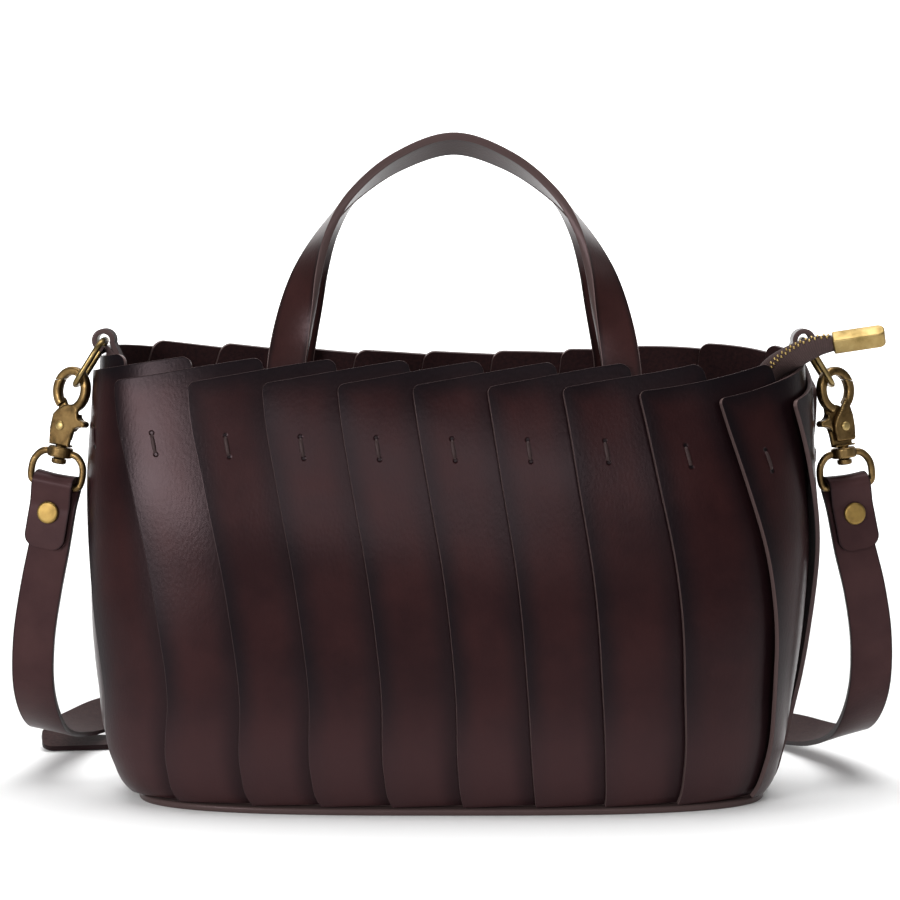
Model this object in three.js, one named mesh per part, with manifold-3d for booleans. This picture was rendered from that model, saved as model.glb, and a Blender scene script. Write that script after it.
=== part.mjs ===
// A small leather handbag whose wall is a ring of leaning, overlapping leather panels.
// Millimetres, +Z up, origin at the centre of the base's underside, front towards -Y.
import * as THREE from 'three';
import { mergeVertices } from 'three/addons/utils/BufferGeometryUtils.js';
import Module from 'manifold-3d';

const wasm = await Module();
wasm.setup();

// Wall
const PANEL_COUNT = 22;
const PANEL_THICKNESS = 1.8;
const LAYER_GAP = 0.54;
const PANEL_LEAN_DEG = 7.8;
const PANEL_PHASE = 0.013;
const RIM_Z = 176;
const RIM_FRONT_TILT = 1.9;
const RIM_BACK_RISE = 0.3;
const RIM_BACK_SAG = 8.5;
// How far a panel's top edge falls towards its left, and how much more it does at the right end.
const TOP_EDGE_DROP = { front: 11.6, back: 5, more: 4.5, from: 0.35, to: 0.85 };
const CORNER_CUT = 3.4;
const PLAN_POWER = 3;
const PANEL_COLUMNS = 6;
const EDGE_LIFT = 0.7;
const OTHER_LIFTS = { 1: 0.35, 10: 2.2, 11: 2, 22: 1 };
const LIFT_SPREAD = 0.4;
const LIFT_FULL_Z = 46;
// Inner face of the wall: half sizes of its plan at each height, how far its right end is tucked in
// and the back of its left end bulges there, and how much of the edges' swing shows.
const WALL = [
  { z: 3, halfWidth: 118.5, halfDepth: 41, tuck: 0, bulge: 0, swing: 0 },
  { z: 8, halfWidth: 126, halfDepth: 43.2, tuck: 3, bulge: 0, swing: 0.15 },
  { z: 18, halfWidth: 132, halfDepth: 46.5, tuck: 5.8, bulge: 0, swing: 0.45 },
  { z: 46, halfWidth: 137, halfDepth: 50.8, tuck: 5.8, bulge: 0, swing: 0.95 },
  { z: 95, halfWidth: 139.8, halfDepth: 51.2, tuck: 2.4, bulge: 0, swing: 1 },
  { z: 128, halfWidth: 139.4, halfDepth: 47.6, tuck: 1.8, bulge: 0.6, swing: 0.58 },
  { z: 152, halfWidth: 138.8, halfDepth: 43, tuck: 0.6, bulge: 2.2, swing: 0.17 },
  { z: 180, halfWidth: 137.5, halfDepth: 35.5, tuck: 0, bulge: 3.6, swing: 0 },
];
// How far each panel's left edge swings along the wall at mid height, and moves at its foot.
const DRIFT = [
  { swing: 11.5, foot: -6.5 },
  { swing: 12, foot: -7 },
  { swing: 10.3, foot: -4.8 },
  { swing: 7.2, foot: -4.5 },
  { swing: 5.3, foot: -3.3 },
  { swing: 4.2, foot: -1.7 },
  { swing: 2.2, foot: 0.4 },
  { swing: 1.2, foot: 1 },
  { swing: 3, foot: 2.8 },
  { swing: 9, foot: 6.5 },
  { swing: 10.5, foot: 6 },
  { swing: 10, foot: 5.5 },
  { swing: 9, foot: 4 },
  { swing: 8, foot: 2.5 },
  { swing: 7, foot: 1 },
  { swing: 6.5, foot: 0 },
  { swing: 6.5, foot: 0 },
  { swing: 7.5, foot: -0.5 },
  { swing: 8.8, foot: -1.5 },
  { swing: 10, foot: -3 },
  { swing: 10.8, foot: -4.5 },
  { swing: 11.2, foot: -5.5 },
];
const FOOT_REACH = 60;
const BULGE_Y = { from: 1, to: 23 };

// Base
const BASE_THICKNESS = 2.6;
const BASE_HALF_WIDTH = 120;
const BASE_HALF_DEPTH = 48;
const SEAT_GAP = 0.35;
const BOTTOM_EDGE_RISE = 1.2;

// Handles
const HANDLE_WIDTH = 15;
const HANDLE_THICKNESS = 3.3;
const HANDLE_CROWN_INSET = 8.6;
const HANDLE_STEPS = 44;
const HANDLE_HALF = [
  { x: 67.5, z: 146, twist: 0 },
  { x: 66, z: 162, twist: 0 },
  { x: 64.6, z: 177, twist: 4 },
  { x: 61.4, z: 194, twist: 24 },
  { x: 57, z: 211, twist: 52 },
  { x: 50, z: 226.5, twist: 78 },
  { x: 39.5, z: 240.5, twist: 94 },
  { x: 22, z: 253.5, twist: 106 },
  { x: 0, z: 260.5, twist: 112 },
];

// Loops and rings at the two ends of the mouth
const LOOP_EYE = { x: 139.6, z: 182.6, outer: 4.6, inner: 2.6, fromDeg: -50, toDeg: 205 };
const LOOP_WIDTH = 10;
const LOOP_STEM = { outerX: 136.6, innerX: 132.2, bottomZ: 153, neckZ: 178, shoulderZ: 174.8 };
const RING_WIRE = 1.2;
const RING_LENGTH = 21;
const RING_WIDTH = 21.6;
const RING_POWER = 4;
const RING_STEPS = 20;
const WIRE_SIDES = 6;
const RING_SWING_DEG = 32.2;

// Trigger clasps: local x across, z along the clasp, front towards -y
const CLASP_HALF = 2.3;
const EYE = { x: 0.6, z: 25.3, innerX: 4.6, innerZ: 5.9, outerX: 7.6, outerZ: 9 };
// Where the two arms of the eye end, as angles on its outer and inner edges. The split between
// the nose and the gate follows the gate's swing.
const STRAND = { outerFrom: -66, outerTo: 158, innerFrom: -66, innerTo: 141, steps: 14 };
const GATE_ARM = { outerFrom: 163.5, outerTo: 234, innerFrom: 145.5, innerTo: 234, steps: 6 };
const PIVOT = { x: -0.8, z: 10.6 };
const RING_IN_EYE = { x: 2, z: 27.6 };
const HOOK_ALONG_RING = -4;
const PIVOT_HOLE = 1.15;
const PIVOT_PIN = { shank: 0.85, head: 1.75, headHeight: 0.7, clear: 0.4, sides: 10 };
const CHEEK_PROUD = 0.1;
const POST = { radius: 2.1, top: 2.8 };
const BUTTON = { radius: 3, top: -2.7, bottom: -4.8 };
const COLLAR = { inner: 2.5, outer: 5, half: 2.3, chamfer: 0.5 };
const ROUND_SIDES = 12;
const EYE_WIRE = 1.1;
const EYE_BAR_Z = -13.2;
const EYE_STEPS = 22;
// Half of the D-shaped eye's wire, from the collar round to the middle of its bar.
const EYE_HALF = [
  { x: 3.7, z: 0 },
  { x: 7.4, z: -0.9 },
  { x: 10.2, z: -4.4 },
  { x: 10.8, z: -8.8 },
  { x: 10.2, z: -12.2 },
  { x: 8.9, z: EYE_BAR_Z },
];
const CLASPS = {
  left: { side: -1, lean: 10, turn: -24, eyeTurn: -12, slant: 0 },
  right: { side: 1, lean: -7, turn: 204, eyeTurn: 10, slant: 0.08 },
};

// Shoulder strap
const STRAP_WIDTH = 16.8;
const STRAP_THICKNESS = 2.2;
const FLAP_LENGTH = 28.5;
const FLAP_MEET = 5.5;
const FLAP_GAP = 0.2;
const FLAP_STRAIGHT = 19.5;
const STRAP_STEPS = 50;
const STRAP_RIVET = { below: 11.4, hole: 1.6, shank: 1.2, cap: 4.5, capHeight: 1.3, sides: 14 };
const DRILL = { length: 30, sides: 10 };
// Centre line of each length below its fold, with the direction from its left edge to its right one.
const STRAP_LEFT = [
  { x: -166, y: -0.4, z: 83, sx: 0.98, sy: -0.12, sz: -0.14 },
  { x: -169.6, y: 2.5, z: 62, sx: 1, sy: -0.1, sz: -0.06 },
  { x: -171.4, y: 13, z: 40, sx: 1, sy: -0.12, sz: 0 },
  { x: -170, y: 39, z: 20, sx: 1, sy: -0.22, sz: -0.1 },
  { x: -165, y: 78, z: 12.6, sx: 0.86, sy: -0.4, sz: -0.35 },
  { x: -153, y: 120, z: 11.4, sx: 0.56, sy: -0.55, sz: -0.6 },
  { x: -127, y: 163, z: 9.8, sx: 0.5, sy: -0.68, sz: -0.42 },
  { x: -88, y: 197, z: 7, sx: 0.42, sy: -0.88, sz: -0.12 },
  { x: -52, y: 211, z: 5.5, sx: 0.12, sy: -0.98, sz: 0 },
  { x: -19.5, y: 213, z: 5.5, sx: 0, sy: -1, sz: 0 },
];
const STRAP_RIGHT = [
  { x: 165.4, y: -0.4, z: 82, sx: 0.98, sy: 0.1, sz: 0.1 },
  { x: 168.6, y: 2.5, z: 62, sx: 1, sy: 0.1, sz: 0.06 },
  { x: 169.4, y: 12, z: 40, sx: 1, sy: 0.12, sz: 0 },
  { x: 166.5, y: 35, z: 20, sx: 1, sy: 0.26, sz: 0.12 },
  { x: 159.5, y: 66, z: 11, sx: 0.86, sy: 0.42, sz: 0.36 },
  { x: 146.5, y: 98, z: 8, sx: 0.6, sy: 0.56, sz: 0.56 },
  { x: 121, y: 143, z: 5.8, sx: 0.54, sy: 0.74, sz: 0.4 },
  { x: 76, y: 187, z: 3.2, sx: 0.42, sy: 0.88, sz: 0.1 },
  { x: 24, y: 211, z: 2.5, sx: 0.12, sy: 0.98, sz: 0 },
  { x: -24, y: 213, z: 2.9, sx: 0, sy: 1, sz: 0 },
  { x: -62, y: 204, z: 2, sx: -0.42, sy: 0.88, sz: 0 },
  { x: -100, y: 163, z: 1.8, sx: -0.74, sy: 0.66, sz: 0 },
  { x: -130, y: 118, z: 1.8, sx: -0.7, sy: 0.7, sz: 0.02 },
  { x: -152, y: 98, z: 2.1, sx: -0.44, sy: 0.9, sz: 0.08 },
  { x: -180, y: 91.5, z: 4.6, sx: -0.1, sy: 0.93, sz: 0.36 },
];
const TIP_TAPER = [
  { at: 0, share: 0.42 },
  { at: 1.6, share: 0.78 },
  { at: 5, share: 1 },
];
const KEEPER = {
  x: -24, y: 213, length: 12, wall: 1.3, floorGap: 0.1, sideClear: 1.2, layerClear: 0.45,
};

// Zip
const TAPE_HEIGHT = 13;
const TAPE_THICKNESS = 1;
const TAPE_STEPS = 16;
const TAPE_Z = 132;
const TAPE_CLEAR = 0.95;
const TAPE_MEET = { y: -8, apart: 2.2 };
const TAPE_PATH = [
  { x: -112, rise: 0, reach: 1 },
  { x: -60, rise: 0, reach: 1 },
  { x: 0, rise: 0, reach: 1 },
  { x: 55, rise: 2, reach: 1 },
  { x: 86, rise: 9, reach: 0.75 },
  { x: 104, rise: 20, reach: 0.25 },
  { x: 110.8, rise: 24, reach: 0 },
];
const SLIDER = { x: 117.4, z: 158, length: 9, width: 7, height: 8, tilt: 55 };
// The tail of the tape: its middle line and the size of its folded section.
const TAIL = [
  { x: 121, y: -8.4, z: 163.6, width: 5, height: 8 },
  { x: 126.4, y: -11.6, z: 171.4, width: 6.2, height: 10.6 },
  { x: 134.5, y: -16, z: 176.9, width: 6.4, height: 10.8 },
  { x: 142.4, y: -18.6, z: 180.7, width: 5.8, height: 9 },
  { x: 148.6, y: -18.9, z: 182, width: 5.2, height: 6.8 },
];
const TAIL_STEPS = 14;
const TAIL_SIDES = 8;
const TAIL_ROLL_DEG = 36;
const CHAIN = { width: 2.6, height: 1.1, clear: 0.3, firstStep: 4 };
const CAP = { length: 20.5, height: 6.8, width: 6.6, round: 2.2, tilt: 11, gap: 0.5 };

const LEATHER = { color: 0x3b2526, roughness: 0.45, metalness: 0 };
const EDGE_LEATHER = { color: 0x2a1b1c, roughness: 0.5, metalness: 0 };
const STRAP_LEATHER = { color: 0x4a3a39, roughness: 0.5, metalness: 0 };
const BRASS = { color: 0x8c7440, roughness: 0.35, metalness: 1 };
const TAPE_FABRIC = { color: 0x4d3836, roughness: 0.9, metalness: 0 };

const bag = new THREE.Group();
const X_AXIS = new THREE.Vector3(1, 0, 0);
const Y_AXIS = new THREE.Vector3(0, 1, 0);
const Z_AXIS = new THREE.Vector3(0, 0, 1);
const radians = THREE.MathUtils.degToRad;
const mix = THREE.MathUtils.lerp;
const WELD = 1e-4;

function add(name, geometry, finish, parent = bag) {
  const mesh = new THREE.Mesh(geometry, new THREE.MeshStandardMaterial(finish));
  mesh.name = name;
  parent.add(mesh);
  return mesh;
}

// Closed geometry from points and triangles, turned so that its faces point out.
function closedGeometry(points, triangles) {
  let volume = 0;
  for (const [a, b, c] of triangles) {
    volume += points[a].dot(new THREE.Vector3().crossVectors(points[b], points[c]));
  }
  const faces = volume < 0 ? triangles.map(([a, b, c]) => [a, c, b]) : triangles;
  const geometry = new THREE.BufferGeometry().setFromPoints(points);
  geometry.setIndex(faces.flat());
  return geometry;
}

// A wall between two grids of points with the same rows and columns.
function wallBetween(front, back) {
  const rows = front.length;
  const columns = front[0].length;
  const points = [...front.flat(), ...back.flat()];
  const triangles = [];
  const index = (layer, row, column) => (layer * rows + row) * columns + column;
  const quad = (a, b, c, d) => triangles.push([a, b, c], [a, c, d]);
  for (let row = 0; row + 1 < rows; row += 1) {
    for (let column = 0; column + 1 < columns; column += 1) {
      const corner = (layer, r, c) => index(layer, row + r, column + c);
      quad(corner(0, 0, 0), corner(0, 0, 1), corner(0, 1, 1), corner(0, 1, 0));
      quad(corner(1, 0, 0), corner(1, 1, 0), corner(1, 1, 1), corner(1, 0, 1));
    }
  }
  for (let column = 0; column + 1 < columns; column += 1) {
    for (const [row, from, to] of [[0, column + 1, column], [rows - 1, column, column + 1]]) {
      quad(index(0, row, from), index(0, row, to), index(1, row, to), index(1, row, from));
    }
  }
  for (let row = 0; row + 1 < rows; row += 1) {
    for (const [column, from, to] of [[0, row, row + 1], [columns - 1, row + 1, row]]) {
      quad(index(0, from, column), index(0, to, column), index(1, to, column), index(1, from, column));
    }
  }
  return closedGeometry(points, triangles);
}

// A section carried through frames { point, side, up }, open with flat ends or closed into a ring.
function sweep(frames, sectionAt, closed = false) {
  const points = [];
  const triangles = [];
  const sides = sectionAt(0).length;
  frames.forEach((frame, step) => {
    for (const [s, t] of sectionAt(step)) {
      points.push(frame.point.clone().addScaledVector(frame.side, s).addScaledVector(frame.up, t));
    }
  });
  const spans = closed ? frames.length : frames.length - 1;
  for (let step = 0; step < spans; step += 1) {
    const next = (step + 1) % frames.length;
    for (let i = 0; i < sides; i += 1) {
      const j = (i + 1) % sides;
      const [a, b, c, d] = [step * sides + i, step * sides + j, next * sides + j, next * sides + i];
      triangles.push([a, b, c], [a, c, d]);
    }
  }
  if (!closed) {
    const last = (frames.length - 1) * sides;
    for (let i = 1; i + 1 < sides; i += 1) {
      triangles.push([0, i + 1, i], [last, last + i, last + i + 1]);
    }
  }
  return closedGeometry(points, triangles);
}

function rectangle(width, height) {
  const [s, t] = [width / 2, height / 2];
  return [[-s, -t], [s, -t], [s, t], [-s, t]];
}

function polygon(radius, sides) {
  return Array.from({ length: sides }, (_, i) => {
    const angle = ((i + 0.5) / sides) * 2 * Math.PI;
    return [radius * Math.cos(angle), radius * Math.sin(angle)];
  });
}

// Frames along a curve whose width direction is asked for at each step.
function framesAlong(curve, steps, wantedSide) {
  return Array.from({ length: steps + 1 }, (_, step) => {
    const t = step / steps;
    const tangent = curve.getTangent(t);
    const side = wantedSide(t, tangent).clone();
    side.addScaledVector(tangent, -side.dot(tangent)).normalize();
    return { point: curve.getPoint(t), side, up: new THREE.Vector3().crossVectors(tangent, side) };
  });
}

function curveThrough(rows, columns) {
  const [a, b, c] = columns;
  return new THREE.CatmullRomCurve3(rows.map((row) => new THREE.Vector3(row[a], row[b], row[c])));
}

function toSolid(geometry) {
  const bare = geometry.clone();
  bare.deleteAttribute('normal');
  bare.deleteAttribute('uv');
  const merged = mergeVertices(bare, WELD);
  const vertProperties = new Float32Array(merged.attributes.position.array);
  const triVerts = new Uint32Array(merged.index.array);
  return new wasm.Manifold(new wasm.Mesh({ numProp: 3, vertProperties, triVerts }));
}

function toGeometry(solid) {
  const { vertProperties, triVerts } = solid.getMesh();
  const geometry = new THREE.BufferGeometry();
  geometry.setAttribute('position', new THREE.BufferAttribute(vertProperties, 3));
  geometry.setIndex(new THREE.BufferAttribute(triVerts, 1));
  return geometry;
}

function joined(...geometries) {
  return toGeometry(geometries.map(toSolid).reduce((whole, piece) => whole.add(piece)));
}

// A plate cut from an outline in the local x-z plane, between two depths measured towards the front.
function plate(shape, backDepth, frontDepth, curveSegments = 5) {
  const depth = frontDepth - backDepth;
  const geometry = new THREE.ExtrudeGeometry(shape, { depth, bevelEnabled: false, curveSegments });
  return geometry.translate(0, 0, backDepth).rotateX(Math.PI / 2);
}

function upright(geometry) {
  return geometry.rotateX(Math.PI / 2);
}

// A round bar that stands between two heights.
function rod(radius, fromZ, toZ) {
  const bar = upright(new THREE.CylinderGeometry(radius, radius, toZ - fromZ, ROUND_SIDES));
  return bar.translate(0, 0, (fromZ + toZ) / 2);
}

// The wall's inner face

function wallSize(z) {
  const above = WALL.findIndex((row) => row.z >= z);
  const upper = Math.max(1, above < 0 ? WALL.length - 1 : above);
  const [low, high] = [WALL[upper - 1], WALL[upper]];
  const t = (z - low.z) / (high.z - low.z);
  const at = (column) => mix(low[column], high[column], t);
  return Object.fromEntries(Object.keys(WALL[0]).map((column) => [column, at(column)]));
}

function planAt(halfWidth, halfDepth, angle, power = PLAN_POWER) {
  const round = (value) => Math.sign(value) * Math.abs(value) ** (2 / power);
  return new THREE.Vector2(halfWidth * round(Math.cos(angle)), halfDepth * round(Math.sin(angle)));
}

// Points at equal steps of length around a plan, from its left end along the front.
const PLAN_SAMPLES = 720;
const END_POWER = 3;
const planCache = new Map();
function measuredPlan(z) {
  if (!planCache.has(z)) {
    const { halfWidth, halfDepth, tuck, bulge } = wallSize(z);
    const points = [];
    const lengths = [0];
    for (let i = 0; i <= PLAN_SAMPLES; i += 1) {
      const place = planAt(halfWidth, halfDepth, -Math.PI + (i / PLAN_SAMPLES) * 2 * Math.PI);
      const share = place.x / halfWidth;
      const backShare = THREE.MathUtils.smoothstep(place.y, BULGE_Y.from, BULGE_Y.to);
      place.x -= tuck * Math.max(0, share) ** END_POWER;
      place.x -= bulge * backShare * Math.max(0, -share) ** END_POWER;
      points.push(place);
      if (i > 0) lengths.push(lengths[i - 1] + points[i].distanceTo(points[i - 1]));
    }
    planCache.set(z, { points, lengths, around: lengths[PLAN_SAMPLES] });
  }
  return planCache.get(z);
}

function wallPoint(fraction, z) {
  const { points, lengths, around } = measuredPlan(z);
  const length = (fraction - Math.floor(fraction)) * around;
  let low = 0;
  let high = PLAN_SAMPLES;
  while (high - low > 1) {
    const middle = (low + high) >> 1;
    if (lengths[middle] <= length) low = middle;
    else high = middle;
  }
  const t = (length - lengths[low]) / (lengths[high] - lengths[low]);
  const place = points[low].clone().lerp(points[high], t);
  return new THREE.Vector3(place.x, place.y, z);
}

// The outward direction, from neighbouring points this far off along the wall and up it.
const REACH = { fraction: 0.004, z: 2.5 };
function wallNormal(fraction, z) {
  const along = wallPoint(fraction + REACH.fraction, z).sub(wallPoint(fraction - REACH.fraction, z));
  const up = wallPoint(fraction, z + REACH.z).sub(wallPoint(fraction, z - REACH.z));
  return along.cross(up).normalize();
}

// Height of a panel's top edge over a place on the wall. The front of the rim falls a little towards
// the right end, and the back of it sags in the middle.
function topEdgeHeight({ x, y }, across) {
  const { halfWidth, halfDepth } = wallSize(RIM_Z);
  const share = x / halfWidth;
  const backShare = ((1 + y / halfDepth) / 2) ** 2;
  const { front, back, more, from, to } = TOP_EDGE_DROP;
  const frontDrop = front + more * THREE.MathUtils.smoothstep(share, from, to);
  const frontRim = RIM_Z - RIM_FRONT_TILT * share;
  const backRim = RIM_Z + RIM_BACK_RISE + RIM_BACK_SAG * share ** 2;
  return mix(frontRim, backRim, backShare) - mix(frontDrop, back, backShare) * (1 - across);
}

function wallDepth(x, z) {
  const { halfWidth, halfDepth } = wallSize(z);
  return halfDepth * (1 - Math.abs(x / halfWidth) ** PLAN_POWER) ** (1 / PLAN_POWER);
}

// Panels

const LEAN = Math.tan(radians(PANEL_LEAN_DEG));
const LAYER_STEP = PANEL_THICKNESS + LAYER_GAP;
const SEAT_ROUNDS = 6;
const MIDDLE_ROW = 3;

// How far the wall's covering moves along it at a height, for a place counted in panels.
function drift(panels, z) {
  const first = Math.floor(panels);
  const [low, high] = [DRIFT[first % PANEL_COUNT], DRIFT[(first + 1) % PANEL_COUNT]];
  const at = (column) => mix(low[column], high[column], panels - first);
  return wallSize(z).swing * at('swing') + (1 - THREE.MathUtils.smoothstep(z, 0, FOOT_REACH)) * at('foot');
}

// Each panel stands two layers off the wall at its left edge and lies on the wall at its right one.
function panelGeometry(number) {
  const lift = OTHER_LIFTS[number] ?? EDGE_LIFT;
  const heights = WALL.map((row) => row.z).slice(2, -1);
  const rows = heights.length + 2;
  const columns = [];
  for (let column = 0; column <= PANEL_COLUMNS; column += 1) {
    const across = column / PANEL_COLUMNS;
    const panels = number - 1 + 2 * across;
    const edgeShare = Math.max(0, 1 - across / LIFT_SPREAD) ** 2;
    const stand = (z) => (
      2 * LAYER_STEP * (1 - across) + lift * edgeShare * Math.min(1, z / LIFT_FULL_Z));
    const fractionAt = (z) => {
      const along = (RIM_Z / 2 - z) * LEAN + drift(panels, z);
      return PANEL_PHASE + panels / PANEL_COUNT + along / measuredPlan(z).around;
    };
    const surface = (z, thickness) => {
      const fraction = fractionAt(z);
      return wallPoint(fraction, z).addScaledVector(wallNormal(fraction, z), stand(z) + thickness);
    };
    const topZ = topEdgeHeight(wallPoint(fractionAt(RIM_Z), RIM_Z), across);
    const seatZ = BASE_THICKNESS + SEAT_GAP + BOTTOM_EDGE_RISE * across;
    let bottomZ = seatZ;
    for (let round = 0; round < SEAT_ROUNDS; round += 1) {
      const slope = wallNormal(fractionAt(bottomZ), bottomZ).z;
      bottomZ = seatZ - slope * (stand(bottomZ) + PANEL_THICKNESS);
    }
    const all = [bottomZ, ...heights, topZ];
    columns.push(all.map((z) => [surface(z, PANEL_THICKNESS), surface(z, 0)]));
  }
  // The two upper corners are cut back, on columns of their own between the even ones.
  const width = columns[0][MIDDLE_ROW][0].distanceTo(columns[PANEL_COLUMNS][MIDDLE_ROW][0]);
  const cut = (CORNER_CUT / width) * PANEL_COLUMNS;
  const between = (low, t) => columns[low].map((pair, row) => pair.map((p, k) => (
    p.clone().lerp(columns[low + 1][row][k], t))));
  const all = [columns[0], between(0, cut), ...columns.slice(1, -1)];
  all.push(between(PANEL_COLUMNS - 1, 1 - cut), columns[PANEL_COLUMNS]);
  for (const end of [all[0], all[all.length - 1]]) {
    for (const k of [0, 1]) {
      const top = end[rows - 1][k];
      const below = end[rows - 2][k];
      top.lerp(below, CORNER_CUT / top.distanceTo(below));
    }
  }
  const layer = (k) => Array.from({ length: rows }, (_, row) => all.map((column) => column[row][k]));
  return wallBetween(layer(0), layer(1));
}

for (let number = 1; number <= PANEL_COUNT; number += 1) {
  add(`panel_${String(number).padStart(2, '0')}`, panelGeometry(number), LEATHER);
}

// Base

const BASE_SIDES = 56;
const baseOutline = new THREE.Shape(Array.from({ length: BASE_SIDES }, (_, i) => (
  planAt(BASE_HALF_WIDTH, BASE_HALF_DEPTH, (i / BASE_SIDES) * 2 * Math.PI))));
const baseGeometry = new THREE.ExtrudeGeometry(baseOutline, { depth: BASE_THICKNESS, bevelEnabled: false });
add('base', baseGeometry, EDGE_LEATHER);

// Handles

function handleGeometry() {
  const rightHalf = HANDLE_HALF.slice(0, -1).reverse();
  const rows = [...HANDLE_HALF.map((row) => ({ ...row, x: -row.x })), ...rightHalf];
  const crown = HANDLE_HALF[HANDLE_HALF.length - 1];
  const seat = (x, z) => wallDepth(Math.abs(x) + HANDLE_WIDTH / 2, z) - SEAT_GAP - HANDLE_THICKNESS / 2;
  for (const row of rows) {
    const rise = THREE.MathUtils.clamp((row.z - RIM_Z) / (crown.z - RIM_Z), 0, 1);
    row.y = -mix(seat(row.x, Math.min(row.z, RIM_Z)), HANDLE_CROWN_INSET, rise);
    row.none = 0;
  }
  const path = curveThrough(rows, ['x', 'y', 'z']);
  const twists = curveThrough(rows, ['twist', 'none', 'none']);
  path.curveType = 'catmullrom';
  twists.curveType = 'catmullrom';
  const frames = framesAlong(path, HANDLE_STEPS, (t, tangent) => {
    const across = Y_AXIS.clone().addScaledVector(tangent, -tangent.y).normalize();
    const outward = new THREE.Vector3().crossVectors(tangent, across);
    const twist = radians(twists.getPoint(t).x);
    return outward.multiplyScalar(Math.cos(twist)).addScaledVector(across, Math.sin(twist));
  });
  return sweep(frames, () => rectangle(HANDLE_WIDTH, HANDLE_THICKNESS));
}

add('handle_front', handleGeometry(), LEATHER);
add('handle_back', handleGeometry(), LEATHER).rotation.z = Math.PI;

// Loops and rings, made for the right end and turned half round for the left one

function loopGeometry() {
  const { x, z, outer, inner } = LOOP_EYE;
  const shape = new THREE.Shape();
  shape.moveTo(LOOP_STEM.innerX, LOOP_STEM.bottomZ);
  shape.lineTo(LOOP_STEM.outerX, LOOP_STEM.bottomZ);
  shape.lineTo(LOOP_STEM.outerX, LOOP_STEM.neckZ);
  shape.absarc(x, z, outer, radians(LOOP_EYE.fromDeg), radians(LOOP_EYE.toDeg), false);
  shape.lineTo(LOOP_STEM.innerX, LOOP_STEM.shoulderZ);
  const hole = new THREE.Path();
  hole.absarc(x, z, inner, 0, 2 * Math.PI, true);
  shape.holes.push(hole);
  return plate(shape, -LOOP_WIDTH / 2, LOOP_WIDTH / 2, 8);
}

// The ring lies in a plane through the loop's eye, swung outwards, with its long sides along it.
const RING_SWING = radians(RING_SWING_DEG);
const ringDown = new THREE.Vector3(Math.sin(RING_SWING), 0, -Math.cos(RING_SWING));
const loopEye = new THREE.Vector3(LOOP_EYE.x, 0, LOOP_EYE.z);
const ringFoot = loopEye.clone().addScaledVector(ringDown, RING_LENGTH);

function ringGeometry() {
  const onRing = (step) => {
    const angle = ((step + 0.5) / RING_STEPS) * 2 * Math.PI;
    return planAt(RING_LENGTH / 2, RING_WIDTH / 2, angle, RING_POWER);
  };
  const frames = Array.from({ length: RING_STEPS }, (_, step) => {
    const place = onRing(step);
    const [before, ahead] = [onRing(step - 1), onRing(step + 1)];
    const middle = loopEye.clone().addScaledVector(ringDown, RING_LENGTH / 2);
    const at = (p) => middle.clone().addScaledVector(ringDown, p.x).addScaledVector(Y_AXIS, p.y);
    const tangent = at(ahead).sub(at(before)).normalize();
    const up = new THREE.Vector3().crossVectors(ringDown, Y_AXIS);
    return { point: at(place), side: new THREE.Vector3().crossVectors(tangent, up), up };
  });
  return sweep(frames, () => polygon(RING_WIRE, WIRE_SIDES), true);
}

for (const [name, clasp] of Object.entries(CLASPS)) {
  const end = new THREE.Group();
  end.rotation.z = clasp.side > 0 ? 0 : Math.PI;
  bag.add(end);
  add(`${name}_loop`, loopGeometry(), LEATHER, end);
  add(`${name}_ring`, ringGeometry(), BRASS, end);
}

// Trigger clasps

function eyePoint(degrees, share) {
  const angle = radians(degrees);
  const x = EYE.x + mix(EYE.innerX, EYE.outerX, share) * Math.cos(angle);
  const z = EYE.z + mix(EYE.innerZ, EYE.outerZ, share) * Math.sin(angle);
  return new THREE.Vector2(x, z);
}

// One of the two arms that make up the oval eye.
function eyeArm({ outerFrom, outerTo, innerFrom, innerTo, steps }) {
  const edge = (from, to, share) => Array.from({ length: steps + 1 }, (_, i) => (
    eyePoint(mix(from, to, i / steps), share)));
  return new THREE.Shape([...edge(outerFrom, outerTo, 1), ...edge(innerFrom, innerTo, 0).reverse()]);
}

function outline(corners, pivotHole) {
  const shape = new THREE.Shape(corners.map(([x, z]) => new THREE.Vector2(x, z)));
  if (pivotHole) {
    const hole = new THREE.Path();
    hole.absarc(PIVOT.x, PIVOT.z, PIVOT_HOLE, 0, 2 * Math.PI, true);
    shape.holes.push(hole);
  }
  return shape;
}

const FRONT_PLATE = [
  [-4.8, 2.6], [4.3, 2.6], [5, 8.5], [6, 11.2], [9.2, 11.5], [10, 12.6], [9.2, 13.6], [7, 14.3],
  [5.2, 15.8], [5, 18], [3.2, 20], [0.6, 19.4], [-1, 18.9], [-2.2, 17.7], [-3.6, 16.8],
  [-5.2, 14.6], [-5.6, 9],
];
const SPUR = [
  [5.2, 9], [6, 11.2], [9.2, 11.5], [10, 12.6], [9.2, 13.6], [7, 14.3], [5.2, 15.8], [4.9, 13],
];
const ROOT_BLOCK = [[-4.8, 2.6], [4.3, 2.6], [4.1, 3.4], [-4.7, 3.4]];
const LEVER_PLATE = [
  [-3.4, 4.6], [1.8, 4.6], [3.4, 8], [3.6, 11], [2.6, 14], [0.2, 17.4], [-1.8, 20.6], [-2.7, 21.7],
  [-4.4, 19.6], [-4.2, 17.9], [-5.2, 14.6], [-5.6, 10], [-5, 6.4],
];
const LAYER_SPLIT = { front: 0.25, back: -0.1 };

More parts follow.
